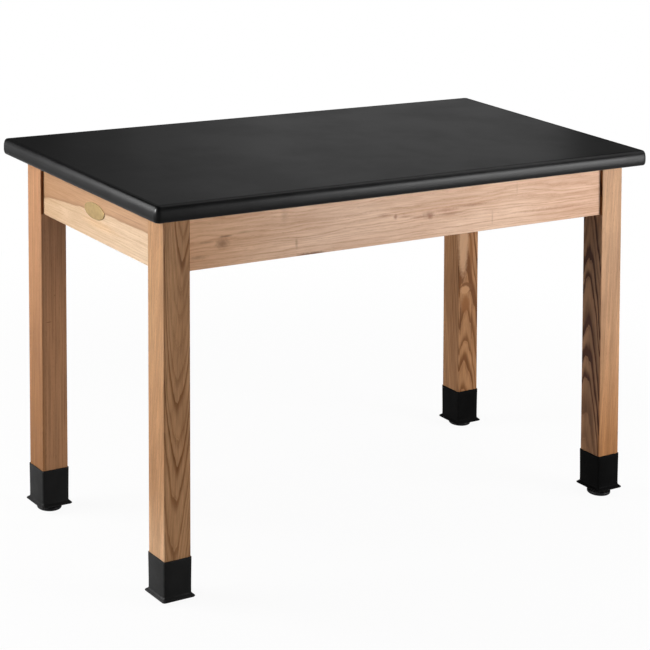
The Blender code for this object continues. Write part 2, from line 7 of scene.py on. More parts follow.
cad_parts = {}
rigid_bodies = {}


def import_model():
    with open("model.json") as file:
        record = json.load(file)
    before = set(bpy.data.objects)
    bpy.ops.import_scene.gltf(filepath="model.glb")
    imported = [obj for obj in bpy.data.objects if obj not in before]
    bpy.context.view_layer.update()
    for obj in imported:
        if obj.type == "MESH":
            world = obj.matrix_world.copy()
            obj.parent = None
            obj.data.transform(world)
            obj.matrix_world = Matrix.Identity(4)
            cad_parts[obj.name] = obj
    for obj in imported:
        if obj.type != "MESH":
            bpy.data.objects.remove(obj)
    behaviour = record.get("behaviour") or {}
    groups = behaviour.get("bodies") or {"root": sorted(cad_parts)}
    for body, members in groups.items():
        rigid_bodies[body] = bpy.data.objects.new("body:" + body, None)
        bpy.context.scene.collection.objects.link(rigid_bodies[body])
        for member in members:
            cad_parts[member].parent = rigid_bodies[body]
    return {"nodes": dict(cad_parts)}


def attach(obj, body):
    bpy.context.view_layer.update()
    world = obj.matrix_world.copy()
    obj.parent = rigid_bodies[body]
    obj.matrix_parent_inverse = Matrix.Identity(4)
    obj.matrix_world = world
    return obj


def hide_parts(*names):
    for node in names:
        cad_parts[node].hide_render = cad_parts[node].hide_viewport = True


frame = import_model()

# Science lab table: finishes, fine pieces, studio and camera. Metres, Z up.

for spare in [obj for obj in bpy.data.objects if obj.name in ("Cube", "Light", "Camera")]:
    bpy.data.objects.remove(spare, do_unlink=True)  # what a new file holds
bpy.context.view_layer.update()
nodes = frame["nodes"]
corners = {
    "front_left": (-1, -1, 0),
    "front_right": (1, -1, 90),
    "rear_right": (1, 1, 180),
    "rear_left": (-1, 1, 270),
}
print("frame loaded:", len(nodes), "nodes")


# Node tools

def feed(tree, socket, value):
    # Into a socket goes a link, or else a value of its own
    if isinstance(value, bpy.types.NodeSocket):
        tree.links.new(value, socket)
    elif socket.type == "RGBA":
        socket.default_value = (*value[:3], 1.0)
    else:
        socket.default_value = value


def addNode(tree, kind, inputs=None, **settings):
    node = tree.nodes.new(kind)
    for name, value in settings.items():
        setattr(node, name, value)
    for socket, value in (inputs or {}).items():
        feed(tree, node.inputs[socket], value)
    return node


def calc(tree, operation, a, b=0.0, c=0.0):
    return addNode(tree, "ShaderNodeMath", {0: a, 1: b, 2: c}, operation=operation).outputs[0]


def times(tree, a, b, plus=None):
    if plus is None:
        return calc(tree, "MULTIPLY", a, b)
    return calc(tree, "MULTIPLY_ADD", a, b, plus)


def vectorCalc(tree, operation, a, b=(0, 0, 0)):
    made = addNode(tree, "ShaderNodeVectorMath", {0: a, 1: b}, operation=operation)
    return made.outputs["Value" if operation == "LENGTH" else "Vector"]


def splitAxes(tree, vector):
    return addNode(tree, "ShaderNodeSeparateXYZ", {0: vector}).outputs


def rampOver(tree, value, low, high, start=0.0, end=1.0):
    # A smooth step from one level to another between two values
    made = addNode(tree, "ShaderNodeMapRange", {
        "Value": value, "From Min": low, "From Max": high, "To Min": start, "To Max": end,
    }, interpolation_type="SMOOTHSTEP")
    return made.outputs["Result"]


def mixColours(tree, share, a, b, blend="MIX"):
    return addNode(tree, "ShaderNodeMix", {0: share, 6: a, 7: b},
                   data_type="RGBA", blend_type=blend).outputs[2]


def tinge(tree, colour, mask, strength, other, blend="MIX"):
    # Another colour over the first where a mask is, at a strength
    return mixColours(tree, times(tree, mask, strength), colour, other, blend)


def noise(tree, position, scale, detail=2.0, roughness=0.5, stretch=(1, 1, 1)):
    if stretch != (1, 1, 1):
        position = vectorCalc(tree, "MULTIPLY", position, stretch)
    made = addNode(tree, "ShaderNodeTexNoise", {
        "Vector": position, "Scale": scale, "Detail": detail, "Roughness": roughness})
    return made.outputs[0]


def cells(tree, position, scale):
    made = addNode(tree, "ShaderNodeTexVoronoi", {"Vector": position, "Scale": scale})
    return made.outputs["Color"]


def sway(tree, value, cloud, reach):
    # A value that a noise carries up and down by half its reach
    return times(tree, calc(tree, "SUBTRACT", cloud, 0.5), reach, value)


def newGroup(name, inputs, outputs):
    # Inputs are numbers, each with its default, or vectors, with none; outputs are numbers
    tree = bpy.data.node_groups.new(name, "ShaderNodeTree")
    for label, value in inputs.items():
        kind = "NodeSocketVector" if value is None else "NodeSocketFloat"
        socket = tree.interface.new_socket(label, in_out="INPUT", socket_type=kind)
        if value is not None:
            socket.default_value = value
    for label in outputs:
        tree.interface.new_socket(label, in_out="OUTPUT", socket_type="NodeSocketFloat")
    return tree, tree.nodes.new("NodeGroupInput").outputs, tree.nodes.new("NodeGroupOutput").inputs


def useGroup(tree, group, position, **inputs):
    inputs["Position"] = position
    return addNode(tree, "ShaderNodeGroup", inputs, node_tree=group).outputs


def newMaterial(name, constants):
    # What is the same all over a surface goes on the shader's own sockets
    material = bpy.data.materials.new(name)
    material.use_nodes = True
    tree = material.node_tree
    shader = tree.nodes["Principled BSDF"]
    for socket, value in constants.items():
        shader.inputs[socket].default_value = value
    return material, tree, shader, tree.nodes.new("ShaderNodeTexCoord").outputs["Object"]


def dressShader(tree, shader, finish, colour, worn, height, normal=None):
    # The last step of a material: its colour, its roughness where it is worn, its fine relief
    least, spread = finish["rough"]
    distance, strength = finish["relief"]
    relief = {"Height": height, "Distance": distance, "Strength": strength}
    if normal:
        relief["Normal"] = normal
    feed(tree, shader.inputs["Base Color"], colour)
    feed(tree, shader.inputs["Roughness"], times(tree, worn, spread, least))
    feed(tree, shader.inputs["Normal"], addNode(tree, "ShaderNodeBump", relief).outputs[0])


# Shared effects

def makeGrowthRings():
    # Yearly rings round a trunk whose pith is the Z axis
    tree, given, wanted = newGroup("growthRings", {
        "Position": None, "Width": 0.003, "Waviness": 0.002, "Seed": 0.0, "Point": 0.0,
    }, ["Early", "Tone"])
    place = given["Position"]
    shift = addNode(tree, "ShaderNodeCombineXYZ", {"X": given["Seed"], "Y": given["Seed"]}).outputs[0]
    shifted = vectorCalc(tree, "ADD", place, shift)
    radius = vectorCalc(tree, "LENGTH", vectorCalc(tree, "MULTIPLY", place, (1, 1, 0)))
    slow = noise(tree, shifted, 1.0, 1.0, 0.4, (11, 11, 2.4))
    quick = noise(tree, shifted, 1.0, 2.0, 0.5, (55, 55, 9))
    bend = sway(tree, calc(tree, "SUBTRACT", slow, 0.5), quick, 0.35)
    swayed = times(tree, times(tree, bend, 4.0), given["Waviness"], radius)
    # Point draws the arches of a flat cut face to a tip
    side = splitAxes(tree, place)["X"]
    peak = calc(tree, "SQRT", times(tree, side, side, 0.000006))
    swayed = times(tree, peak, given["Point"], swayed)
    count = calc(tree, "DIVIDE", swayed, given["Width"])
    # Good and bad years: rings a little wider or narrower than the mean
    years = addNode(tree, "ShaderNodeTexNoise", {
        "W": calc(tree, "ADD", count, given["Seed"]), "Scale": 0.4, "Detail": 1.0,
    }, noise_dimensions="1D").outputs[0]
    count = times(tree, years, 1.6, count)
    within = calc(tree, "FRACT", count)
    early = times(tree, rampOver(tree, within, 0.0, 0.08),
                  rampOver(tree, within, 0.12, 0.62, 1.0, 0.0))
    late = rampOver(tree, within, 0.82, 1.0, 0.0, 0.3)
    year = addNode(tree, "ShaderNodeTexWhiteNoise", {
        "W": calc(tree, "ADD", calc(tree, "FLOOR", count), given["Seed"])}, noise_dimensions="1D")
    tree.links.new(calc(tree, "MAXIMUM", early, late), wanted["Early"])
    tree.links.new(year.outputs["Value"], wanted["Tone"])
    return tree


def makeOpenPores():
    # Short dark vessels along the grain, thick in the early wood, and the fine fibre between
    tree, given, wanted = newGroup("openPores", {"Position": None, "Early": 0.0}, ["Pores", "Fibre"])
    vessels = noise(tree, given["Position"], 1.0, 1.0, 0.5, (2300, 2300, 110))
    sparse = noise(tree, given["Position"], 1.0, 1.0, 0.5, (1500, 1500, 60))
    early = times(tree, rampOver(tree, vessels, 0.54, 0.66), given["Early"])
    late = times(tree, rampOver(tree, sparse, 0.68, 0.76), 0.5)
    fibre = noise(tree, given["Position"], 1.0, 3.0, 0.6, (700, 700, 9))
    tree.links.new(calc(tree, "MAXIMUM", early, late), wanted["Pores"])
    tree.links.new(fibre, wanted["Fibre"])
    return tree


def makeStain():
    # A soft patch round a place; Inner is the share of its reach that is fully stained
    tree, given, wanted = newGroup("stain", {
        "Position": None, "Centre": None, "Reach": None, "Inner": 0.3, "Ragged": 0.3}, ["Mask"])
    away = vectorCalc(tree, "SUBTRACT", given["Position"], given["Centre"])
    ratio = vectorCalc(tree, "LENGTH", vectorCalc(tree, "DIVIDE", away, given["Reach"]))
    blur = noise(tree, given["Position"], 180.0, 3.0, 0.6)
    ratio = sway(tree, ratio, blur, given["Ragged"])
    tree.links.new(rampOver(tree, ratio, given["Inner"], 1.0, 1.0, 0.0), wanted["Mask"])
    return tree


# Where each narrow step starts and is full: out from the middle, and along to the leg
jointSteps = {
    "endOut": (0.5653, 0.5662), "endAlong": (0.21, 0.212),
    "longOut": (0.2605, 0.2614), "longAlong": (0.5148, 0.5168), "height": (0.62, 0.624),
}


def makeJointShade():
    # Painted shade in the narrow steps where the rails meet the legs
    tree, given, wanted = newGroup("jointShade", {"Position": None}, ["Mask"])
    across = splitAxes(tree, vectorCalc(tree, "ABSOLUTE", given["Position"]))
    endStep = times(tree, rampOver(tree, across["X"], *jointSteps["endOut"]),
                    rampOver(tree, across["Y"], *jointSteps["endAlong"], 1.0, 0.0))
    longStep = times(tree, rampOver(tree, across["Y"], *jointSteps["longOut"]),
                     rampOver(tree, across["X"], *jointSteps["longAlong"], 1.0, 0.0))
    mask = times(tree, calc(tree, "MAXIMUM", endStep, longStep),
                 rampOver(tree, across["Z"], *jointSteps["height"]))
    tree.links.new(mask, wanted["Mask"])
    return tree


def makeSurfaceWear():
    # Smudges and fine dust that every handled surface gathers
    tree, given, wanted = newGroup(
        "surfaceWear", {"Position": None, "Scale": 1.0}, ["Smudge", "Dust"])
    placed = addNode(tree, "ShaderNodeVectorMath", {
        0: given["Position"], "Scale": given["Scale"]}, operation="SCALE").outputs["Vector"]
    broad = noise(tree, placed, 5.0, 4.0, 0.6)
    speck = noise(tree, placed, 260.0, 2.0, 0.7)
    tree.links.new(rampOver(tree, broad, 0.38, 0.68), wanted["Smudge"])
    tree.links.new(rampOver(tree, speck, 0.62, 0.78), wanted["Dust"])
    return tree


growthRings = makeGrowthRings()
openPores = makeOpenPores()
surfaceWear = makeSurfaceWear()
stain = makeStain()
jointShade = makeJointShade()
print("shared effects ready")


# Mesh tools

hair = 0.0001  # how near an edge has to be to the height it is picked by
# The legs' axes, the rails' mid height, and their inner faces in a corner's own frame
table = {"legX": 0.5429, "legY": 0.2381, "railMiddle": 0.675975, "railFace": -0.003175}


def turned(degrees, axis):
    return Matrix.Rotation(math.radians(degrees), 4, axis)


def cornerPlace(corner):
    # From a corner's own frame, with the table's middle towards +X +Y, to the table
    sideX, sideY, turn = corners[corner]
    foot = Matrix.Translation((sideX * table["legX"], sideY * table["legY"], 0))
    return foot @ turned(turn, "Z")


def clamp(value, reach):
    return max(-reach, min(reach, value))


def bevelEdges(bm, edges, offset, segments):
    return bmesh.ops.bevel(bm, geom=edges, offset=offset, offset_type="OFFSET", segments=segments,
                           profile=0.5, affect="EDGES", material=-1)["faces"]


def edgesWhere(bm, test):
    return [edge for edge in bm.edges if test((edge.verts[0].co + edge.verts[1].co) / 2, edge)]


def pullEdges(bm, edges, change):
    # Extrudes a run of edges once and moves the new vertices; gives the new edges
    made = bmesh.ops.extrude_edge_only(bm, edges=edges)["geom"]
    moved = {item for item in made if isinstance(item, bmesh.types.BMVert)}
    for vert in moved:
        change(vert)
    return [item for item in made if isinstance(item, bmesh.types.BMEdge)
            and moved.issuperset(item.verts)]


def spinRing(bm, points, steps, merge=True):
    # A section of (radius, height) points turned once round Z
    verts = [bm.verts.new((radius, 0, height)) for radius, height in points]
    edges = [bm.edges.new(pair) for pair in zip(verts, verts[1:])]
    if not merge:
        edges.append(bm.edges.new((verts[-1], verts[0])))
    bmesh.ops.spin(bm, geom=verts + edges, cent=(0, 0, 0), axis=(0, 0, 1), angle=math.tau,
                   steps=steps, use_merge=True)
    bmesh.ops.remove_doubles(bm, verts=bm.verts, dist=0.000005)


def addThread(bm, radius, depth, pitch, start, length, steps=24):
    # A ridge wound round Z over a core
    turns = length / pitch
    ridge = [bm.verts.new(point) for point in (
        (radius - depth - 0.0002, 0, start - pitch * 0.48), (radius, 0, start - pitch * 0.06),
        (radius, 0, start + pitch * 0.06), (radius - depth - 0.0002, 0, start + pitch * 0.48))]
    edges = [bm.edges.new(pair) for pair in zip(ridge, ridge[1:] + ridge[:1])]
    made = bmesh.ops.spin(bm, geom=ridge + edges, cent=(0, 0, 0), axis=(0, 0, 1),
                          angle=math.tau * turns, steps=int(steps * turns),
                          dvec=(0, 0, length / int(steps * turns)))
    lastVerts = [item for item in made["geom_last"] if isinstance(item, bmesh.types.BMVert)]
    bm.faces.new(ridge)
    bmesh.ops.contextual_create(bm, geom=lastVerts)


def meshFrom(bm, name):
    mesh = bpy.data.meshes.new(name)
    bm.to_mesh(mesh)
    bm.free()
    return mesh


def addObject(name, data):
    made = bpy.data.objects.new(name, data)
    bpy.context.scene.collection.objects.link(made)
    return made


def placeCopy(bm, other, place=Matrix()):
    # Adds one bmesh to another, in its place
    mesh = bpy.data.meshes.new("copy")
    other.to_mesh(mesh)
    mesh.transform(place)
    bm.from_mesh(mesh)
    bpy.data.meshes.remove(mesh)


def makeOutline(length, width, corner, segments):
    # The edges of a rectangle with rounded corners
    bm = bmesh.new()
    bmesh.ops.create_grid(bm, x_segments=1, y_segments=1, size=0.5)
    bmesh.ops.transform(bm, verts=bm.verts, matrix=Matrix.Diagonal((length, width, 1, 1)))
    bmesh.ops.bevel(bm, geom=bm.verts, offset=corner, offset_type="OFFSET", segments=segments,
                    profile=0.5, affect="VERTICES", material=-1)
    bmesh.ops.delete(bm, geom=bm.faces, context="FACES_ONLY")
    return bm


def makeHexagon(acrossFlats, low, high):
    bm = bmesh.new()
    bmesh.ops.create_cone(bm, cap_ends=True, segments=6, depth=high - low,
                          radius1=acrossFlats / math.sqrt(3), radius2=acrossFlats / math.sqrt(3),
                          matrix=Matrix.Translation((0, 0, (high + low) / 2)))
    return bm


def finishPiece(bm, name, material, body, replaced=(), angle=32, place=Matrix()):
    bmesh.ops.transform(bm, matrix=place, verts=bm.verts)
    bmesh.ops.recalc_face_normals(bm, faces=bm.faces)
    mesh = meshFrom(bm, name)
    mesh.shade_smooth()
    mesh.set_sharp_from_angle(angle=math.radians(angle))
    mesh.materials.append(material)
    piece = addObject(name, mesh)
    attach(piece, body)
    if replaced:
        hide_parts(*replaced)


print("tools ready")


# Ash legs and rails

# What a board has unless its own entry says otherwise
ash = {
    "shader": {"Coat Weight": 0.03, "Coat Roughness": 0.28, "Specular IOR Level": 0.1},
    "pale": (0.6, 0.345, 0.19), "brown": (0.33, 0.15, 0.064), "cloudy": 0.38,
    "ringWidth": 0.004, "waviness": 0.0022, "point": 0.0, "squash": (1, 1, 1),
    "contrast": 0.8, "yearSpread": 0.5, "poreColour": (0.13, 0.06, 0.028), "pores": 0.45,
    "streak": (210, 210, 5), "streakDark": (0.8, 0.8, 0.8), "streakPale": (1.11, 1.11, 1.11),
    # The colour at the joints darkens the steps beside the rails as painted shade
    "paintedJointShade": (0.5, 0.36, 0.2), "rough": (0.42, 0.1), "relief": (0.00012, 0.7),
    "stains": [], "tintsAndPaintedLight": [],
}


def addHeart(tree, position, toned, heart):
    # Darker heartwood above a bent edge that runs along the board, and a line where it starts
    place = splitAxes(tree, position)
    run = calc(tree, "SUBTRACT", place["Y"], heart["from"])
    edge = times(tree, times(tree, run, run), -heart["bend"], heart["edge"])
    above = calc(tree, "SUBTRACT", place["Z"], edge)
    above = sway(tree, above, noise(tree, position, 1.0, 3.0, 0.55, (20, 20, 90)), 0.008)
    toned = mixColours(tree, rampOver(tree, above, -0.0015, 0.0025), toned, heart["colour"])
    line = times(tree, rampOver(tree, above, -0.001, 0.002),
                 rampOver(tree, above, 0.002, 0.01, 1.0, 0.0))
    return tinge(tree, toned, line, 0.45, heart["line"])


def addFigure(tree, position, trunk, wood, early, tone):
    # Sapwood clouded with brown, and the ring lines over it
    bold = times(tree, tone, wood["yearSpread"], 1.0 - wood["yearSpread"])
    lines = times(tree, times(tree, early, bold), wood["contrast"])
    if "calm" in wood:
        # The face cut along the rays shows its rings less
        axis, start, end, least = wood["calm"]
        calm = rampOver(tree, splitAxes(tree, position)[axis], start, end, least, 1.0)
        lines = times(tree, lines, calm)
    cloud = noise(tree, trunk, 1.0, 3.0, 0.55, (38, 38, 5))
    share = rampOver(tree, cloud, 0.3, 0.75, 0.0, wood["cloudy"])
    toned = mixColours(tree, share, wood["pale"], wood["brown"])
    if "heart" in wood:
        toned = addHeart(tree, position, toned, wood["heart"])
    return mixColours(tree, lines, toned, wood.get("lineColour", wood["brown"]))


def addMarks(tree, position, colour, wood):
    # The tints of a board, partly painted light and shade, its stains, and painted shade in the steps
    # at its joints
    for kind, blend in (("tintsAndPaintedLight", "MULTIPLY"), ("stains", "MIX")):
        for centre, reach, inner, shade, *more in wood[kind]:
            strength, ragged = more or (1.0, 0.0)
            mask = useGroup(tree, stain, position, Centre=centre, Reach=reach,
                            Inner=inner, Ragged=ragged)["Mask"]
            colour = tinge(tree, colour, mask, strength, shade, blend)
    joint = useGroup(tree, jointShade, position)["Mask"]
    return mixColours(tree, joint, colour, wood["paintedJointShade"], "MULTIPLY")


def ashMaterial(name, board):
    # A board is cut from its own place in its own trunk
    wood = ash | board
    material, tree, shader, position = newMaterial(name, wood["shader"])
    trunk = addNode(tree, "ShaderNodeMapping", {
        "Vector": position, "Location": wood["pith"],
        "Rotation": [math.radians(angle) for angle in wood["lean"]],
        "Scale": wood["squash"]}, vector_type="TEXTURE").outputs[0]
    rings = useGroup(tree, growthRings, trunk, Width=wood["ringWidth"],
                     Waviness=wood["waviness"], Seed=wood["seed"], Point=wood["point"])
    grain = useGroup(tree, openPores, trunk, Early=rings["Early"])
    colour = addFigure(tree, position, trunk, wood, rings["Early"], rings["Tone"])
    streak = noise(tree, trunk, 1.0, 3.0, 0.65, wood["streak"])
    fine = times(tree, grain["Fibre"], 0.35, times(tree, streak, 0.65))
    share = rampOver(tree, fine, 0.34, 0.66)
    streaks = mixColours(tree, share, wood["streakDark"], wood["streakPale"])
    colour = mixColours(tree, 1.0, colour, streaks, "MULTIPLY")
    colour = tinge(tree, colour, grain["Pores"], wood["pores"], wood["poreColour"])
    colour = addMarks(tree, position, colour, wood)
    smudge = useGroup(tree, surfaceWear, position, Scale=1.0)["Smudge"]
    worn = times(tree, grain["Pores"], 2.0, smudge)
    height = times(tree, grain["Fibre"], 0.25, times(tree, grain["Pores"], -1.0))
    dressShader(tree, shader, wood, colour, worn, height)
    return material


def frontMarks(face, marks):
    # Marks on a face that looks to the front: X, Z and reach along both, in millimetres
    return [((x / 1000, face, z / 1000), (reachX / 1000, 0.02, reachZ / 1000), *rest)
            for x, z, reachX, reachZ, *rest in marks]


# Tints, partly painted light and shade on a face or at a height, and stains: place, reach, inner
# share, colour, then strength and raggedness if need be
boards = {
    "leg_front_left": {
        "pith": (-0.541, -0.159, 0.4), "lean": (4.2, 2.0, 0), "seed": 1.7, "point": 0.06,
        "squash": (0.62, 1, 1), "pale": (0.65, 0.36, 0.176), "brown": (0.27, 0.105, 0.032),
        "contrast": 1.0, "ringWidth": 0.0044, "yearSpread": 0.9, "calm": ("X", -0.5712, -0.57, 0.2),
        "tintsAndPaintedLight": [
            ((-0.543, -0.2667, 0.4), (0.1, 0.003, 0.9), 0.5, (0.83, 0.8, 0.78)),
            ((-0.5715, -0.238, 0.33), (0.003, 0.2, 0.18), 0.2, (0.94, 0.9, 0.86)),
            ((-0.5715, -0.238, 0.06), (0.003, 0.2, 0.17), 0.2, (1.19, 1.29, 1.48))]},
    "leg_front_right": {
        "pith": (0.621, -0.2285, 0.4), "lean": (3.6, -0.6, 90), "seed": 5.1, "point": 0.075,
        "pale": (0.665, 0.39, 0.22), "brown": (0.11, 0.036, 0.012), "contrast": 1.7,
        "ringWidth": 0.0042, "waviness": 0.003, "yearSpread": 0.85,
        "calm": ("Y", -0.2664, -0.2652, 0.05),
        "tintsAndPaintedLight": [
            ((0.543, -0.267, 0.00), (0.2, 0.01, 0.55), 0.0, (0.72, 0.54, 0.32)),
            ((0.514, -0.238, 0.35), (0.004, 0.1, 0.6), 0.6, (0.84, 0.77, 0.73)),
            ((0.514, -0.238, 0.05), (0.004, 0.1, 0.4), 0.0, (0.72, 0.68, 0.62))]},
    "leg_rear_right": {
        "pith": (0.537, 0.309, 0.4), "lean": (-3.8, 1.0, 0), "seed": 9.4, "point": 0.07,
        "pale": (0.48, 0.24, 0.105), "brown": (0.19, 0.068, 0.018), "contrast": 1.3,
        "ringWidth": 0.0046, "waviness": 0.0035, "yearSpread": 0.8,
        "tintsAndPaintedLight": [
            ((0.514, 0.238, 0.35), (0.004, 0.1, 0.6), 0.6, (0.95, 0.98, 1.05))],
        "stains": frontMarks(0.2095, [
            (527, 460, 18, 125, 0.5, (0.59, 0.35, 0.2), 0.9, 0.4),
            (550.5, 415, 6.5, 60, 0.4, (0.27, 0.105, 0.032), 0.8, 0.4),
            (536, 333.5, 21.5, 15, 0.7, (0.2, 0.078, 0.026), 0.9, 0.4),
            (532.5, 329, 17, 11.5, 0.6, (0.54, 0.285, 0.135), 0.95, 0.6),
            (534.5, 295, 17, 26, 0.4, (0.29, 0.115, 0.038), 0.85, 0.6),
            (520, 262, 3, 60, 0.3, (0.13, 0.048, 0.016), 0.8, 0.7),
            (554, 250, 3.2, 60, 0.3, (0.17, 0.06, 0.018), 0.7, 0.7),
            (536.5, 165, 2.2, 35, 0.3, (0.21, 0.07, 0.02), 0.7, 0.7)])},
    "leg_rear_left": {
        "pith": (-0.4, 0.36, 0.4), "lean": (0.3, 0.4, 0), "seed": 13.2, "ringWidth": 0.0032,
        "pale": (0.51, 0.258, 0.126), "brown": (0.32, 0.145, 0.064), "contrast": 0.3,
        "waviness": 0.001,
        "tintsAndPaintedLight": [
            ((-0.5715, 0.238, 0.02), (0.012, 0.2, 0.62), 0.0, (0.62, 0.54, 0.39)),
            ((-0.543, 0.2095, 0.55), (0.2, 0.012, 0.3), 0.0, (0.84, 0.8, 0.78), 0.7, 0.0)],
        "stains": frontMarks(0.2095, [
            (-555.5, 398.5, 8, 1.3, 0.3, (0.1, 0.045, 0.02), 0.6, 0.5),
            (-542, 452, 1.6, 3, 0.3, (0.12, 0.055, 0.02), 0.6, 0.5)])},
    "front_rail": {
        "pith": (0.0, -0.12, 0.745), "lean": (0, 90, 0.1), "seed": 21.5,
        "pale": (0.95, 0.668, 0.49), "brown": (0.56, 0.29, 0.165), "ringWidth": 0.0036,
        "lineColour": (0.56, 0.25, 0.12), "contrast": 0.38, "yearSpread": 0.9, "waviness": 0.0045,
        "poreColour": (0.45, 0.22, 0.12),
        "streak": (400, 400, 18), "streakDark": (0.905, 0.85, 0.795), "streakPale": (1.07, 1.09, 1.11),
        "tintsAndPaintedLight": [
            ((-0.6, -0.26, 0.67), (0.42, 0.1, 0.3), 0.1, (0.88, 0.75, 0.6)),
            ((0.55, -0.26, 0.67), (0.34, 0.1, 0.3), 0.0, (0.82, 0.75, 0.71))],
        "stains": frontMarks(-0.26035, [
            (-434, 679, 22, 2.8, 0.2, (0.3, 0.145, 0.07), 0.8, 0.6),
            (-440, 666, 22, 14, 0.0, (0.36, 0.18, 0.09), 0.9, 0.7),
            (-475, 672, 24, 3.5, 0.0, (0.4, 0.21, 0.105), 0.6, 0.7),
            (-495, 645, 30, 6, 0.0, (0.38, 0.195, 0.095), 0.6, 0.7),
            (-390, 683, 30, 3, 0.0, (0.42, 0.22, 0.115), 0.45, 0.7),
            (-272.5, 648, 4.6, 16, 0.0, (0.38, 0.175, 0.085), 0.45, 0.7),
            (-300, 706, 13, 24, 0.0, (0.46, 0.24, 0.13), 0.35, 0.7),
            (-62, 680, 28, 4, 0.0, (0.46, 0.19, 0.115), 0.6, 0.6),
            (-34.5, 674.5, 7, 8.5, 0.0, (0.4, 0.16, 0.095), 0.75, 0.7),
            (-10, 672.5, 28, 4, 0.0, (0.48, 0.2, 0.12), 0.55, 0.6),
            (22, 668, 30, 4.4, 0.0, (0.47, 0.195, 0.12), 0.55, 0.6),
            (48, 670, 24, 11, 0.0, (0.44, 0.21, 0.13), 0.7, 0.7),
            (53, 667, 9.5, 9.5, 0.0, (0.4, 0.165, 0.1), 0.75, 0.7),
            (95, 675, 48, 5, 0.0, (0.48, 0.2, 0.125), 0.6, 0.7),
            (100, 667, 56, 4.6, 0.0, (0.44, 0.2, 0.12), 0.6, 0.7),
            (160, 679, 60, 4, 0.0, (0.44, 0.2, 0.12), 0.65, 0.8),
            (215, 648, 3.2, 22, 0.0, (0.44, 0.21, 0.12), 0.35, 0.4),
            (281, 702, 3.2, 20, 0.0, (0.46, 0.23, 0.14), 0.3, 0.4),
            (390, 650, 150, 5, 0.0, (0.5, 0.24, 0.14), 0.5, 0.9),
            (-235, 623.8, 50, 3.6, 0.2, (0.22, 0.1, 0.05), 0.85, 1.1)])},
    "rear_rail": {
        "pith": (0.0, 0.12, 0.8), "lean": (0, 90, 1.0), "seed": 29.0,
        "pale": (0.8, 0.54, 0.38), "brown": (0.48, 0.27, 0.16), "ringWidth": 0.006,
        "contrast": 0.5, "yearSpread": 0.7},
    "left_end_rail": {
        "pith": (-0.47, 0.0, 0.79), "lean": (90, 0, 0), "seed": 33.0,
        "pale": (0.83, 0.62, 0.425), "brown": (0.7, 0.47, 0.29), "ringWidth": 0.0045,
        "poreColour": (0.45, 0.26, 0.15), "streak": (380, 380, 20),
        "streakDark": (0.9, 0.86, 0.81), "streakPale": (1.07, 1.08, 1.1),
        "lineColour": (0.52, 0.3, 0.17), "contrast": 0.2, "yearSpread": 0.8,
        "heart": {"edge": 0.683, "bend": 0.179, "from": -0.181, "colour": (0.58, 0.345, 0.195),
                  "line": (0.33, 0.18, 0.105)},
        "tintsAndPaintedLight": [
            ((-0.5651, 0.12, 0.643), (0.02, 0.03, 0.02), 0.1, (1.08, 1.1, 1.14), 1.0, 0.5),
            ((-0.5651, -0.02, 0.655), (0.02, 0.09, 0.014), 0.1, (1.04, 0.99, 0.9), 1.0, 0.7),
            ((-0.5651, 0.27, 0.68), (0.02, 0.45, 0.3), 0.1, (0.74, 0.69, 0.62))],
        "stains": [
            ((-0.5651, 0.08, 0.7075), (0.02, 0.14, 0.0016), 0.3, (0.36, 0.2, 0.115), 0.5, 0.8),
            ((-0.5651, -0.13, 0.694), (0.02, 0.1, 0.0018), 0.3, (0.36, 0.2, 0.115), 0.5, 0.8)]},
    "right_end_rail": {
        "pith": (0.48, 0.0, 0.8), "lean": (90, 0, 0), "seed": 41.0,
        "pale": (0.8, 0.54, 0.38), "brown": (0.52, 0.3, 0.18), "ringWidth": 0.005,
        "contrast": 0.45, "yearSpread": 0.7},
}
for boardName, board in boards.items():
    nodes[boardName].material_slots[0].material = ashMaterial("ash_" + boardName, board)
print("ash cut:", len(boards), "boards")


# Plain finishes

# Colours, least roughness and its spread, and depth and strength of the fine relief
finishes = {
    "blackLaminate": {
        "shader": {"Specular IOR Level": 0.3}, "rough": (0.3, 0.05), "relief": (0.00006, 0.4),
        "dark": (0.004, 0.004, 0.0042), "pale": (0.008, 0.008, 0.0082)},
    "blackVinyl": {
        "shader": {"Specular IOR Level": 0.1}, "rough": (0.31, 0.04), "relief": (0.00005, 0.35),
        "dark": (0.008, 0.008, 0.0082), "pale": (0.012, 0.012, 0.0123), "dust": (0.2, 0.19, 0.18),
        # The last colour and its heights give a painted shade on the lower part of the edge
        "paintedShade": (0.003, 0.003, 0.003), "paintedShadeHeights": (0.736, 0.745)},
    "blackNylon": {
        "shader": {"Specular IOR Level": 0.12}, "rough": (0.3, 0.25), "relief": (0.00006, 0.4),
        "dark": (0.01, 0.01, 0.011), "dust": (0.05, 0.048, 0.045)},
    "zincPlate": {
        "shader": {"Metallic": 1.0}, "rough": (0.2, 0.3), "relief": (0.00005, 0.4),
        "bright": (0.56, 0.57, 0.58), "dulled": (0.66, 0.655, 0.63)},
    "giltPlate": {
        "shader": {"Metallic": 1.0}, "rough": (0.38, 0.2), "relief": (0.00004, 0.5),
        "bright": (0.215, 0.15, 0.066), "dark": (0.17, 0.118, 0.05), "brushed": (0.28, 0.2, 0.11)},
    "particleBoard": {
        "shader": {"Specular IOR Level": 0.3}, "rough": (0.75, 0.2), "relief": (0.0003, 0.6),
        "dark": (0.3, 0.19, 0.1), "pale": (0.52, 0.37, 0.22), "dust": (0.16, 0.09, 0.045)},
    "brownBacker": {
        "shader": {"Specular IOR Level": 0.35}, "rough": (0.6, 0.2), "relief": (0.0001, 0.5),
        "dark": (0.085, 0.055, 0.036), "pale": (0.12, 0.08, 0.052), "fibre": (0.05, 0.032, 0.02)},
}


# Each look gives a colour, a mask of wear and a height

def laminateLook(tree, position, finish):
    smudge = useGroup(tree, surfaceWear, position, Scale=1.0)["Smudge"]
    colour = tinge(tree, finish["dark"], smudge, 0.3, finish["pale"])
    return colour, smudge, noise(tree, position, 900.0, 2.0, 0.6)


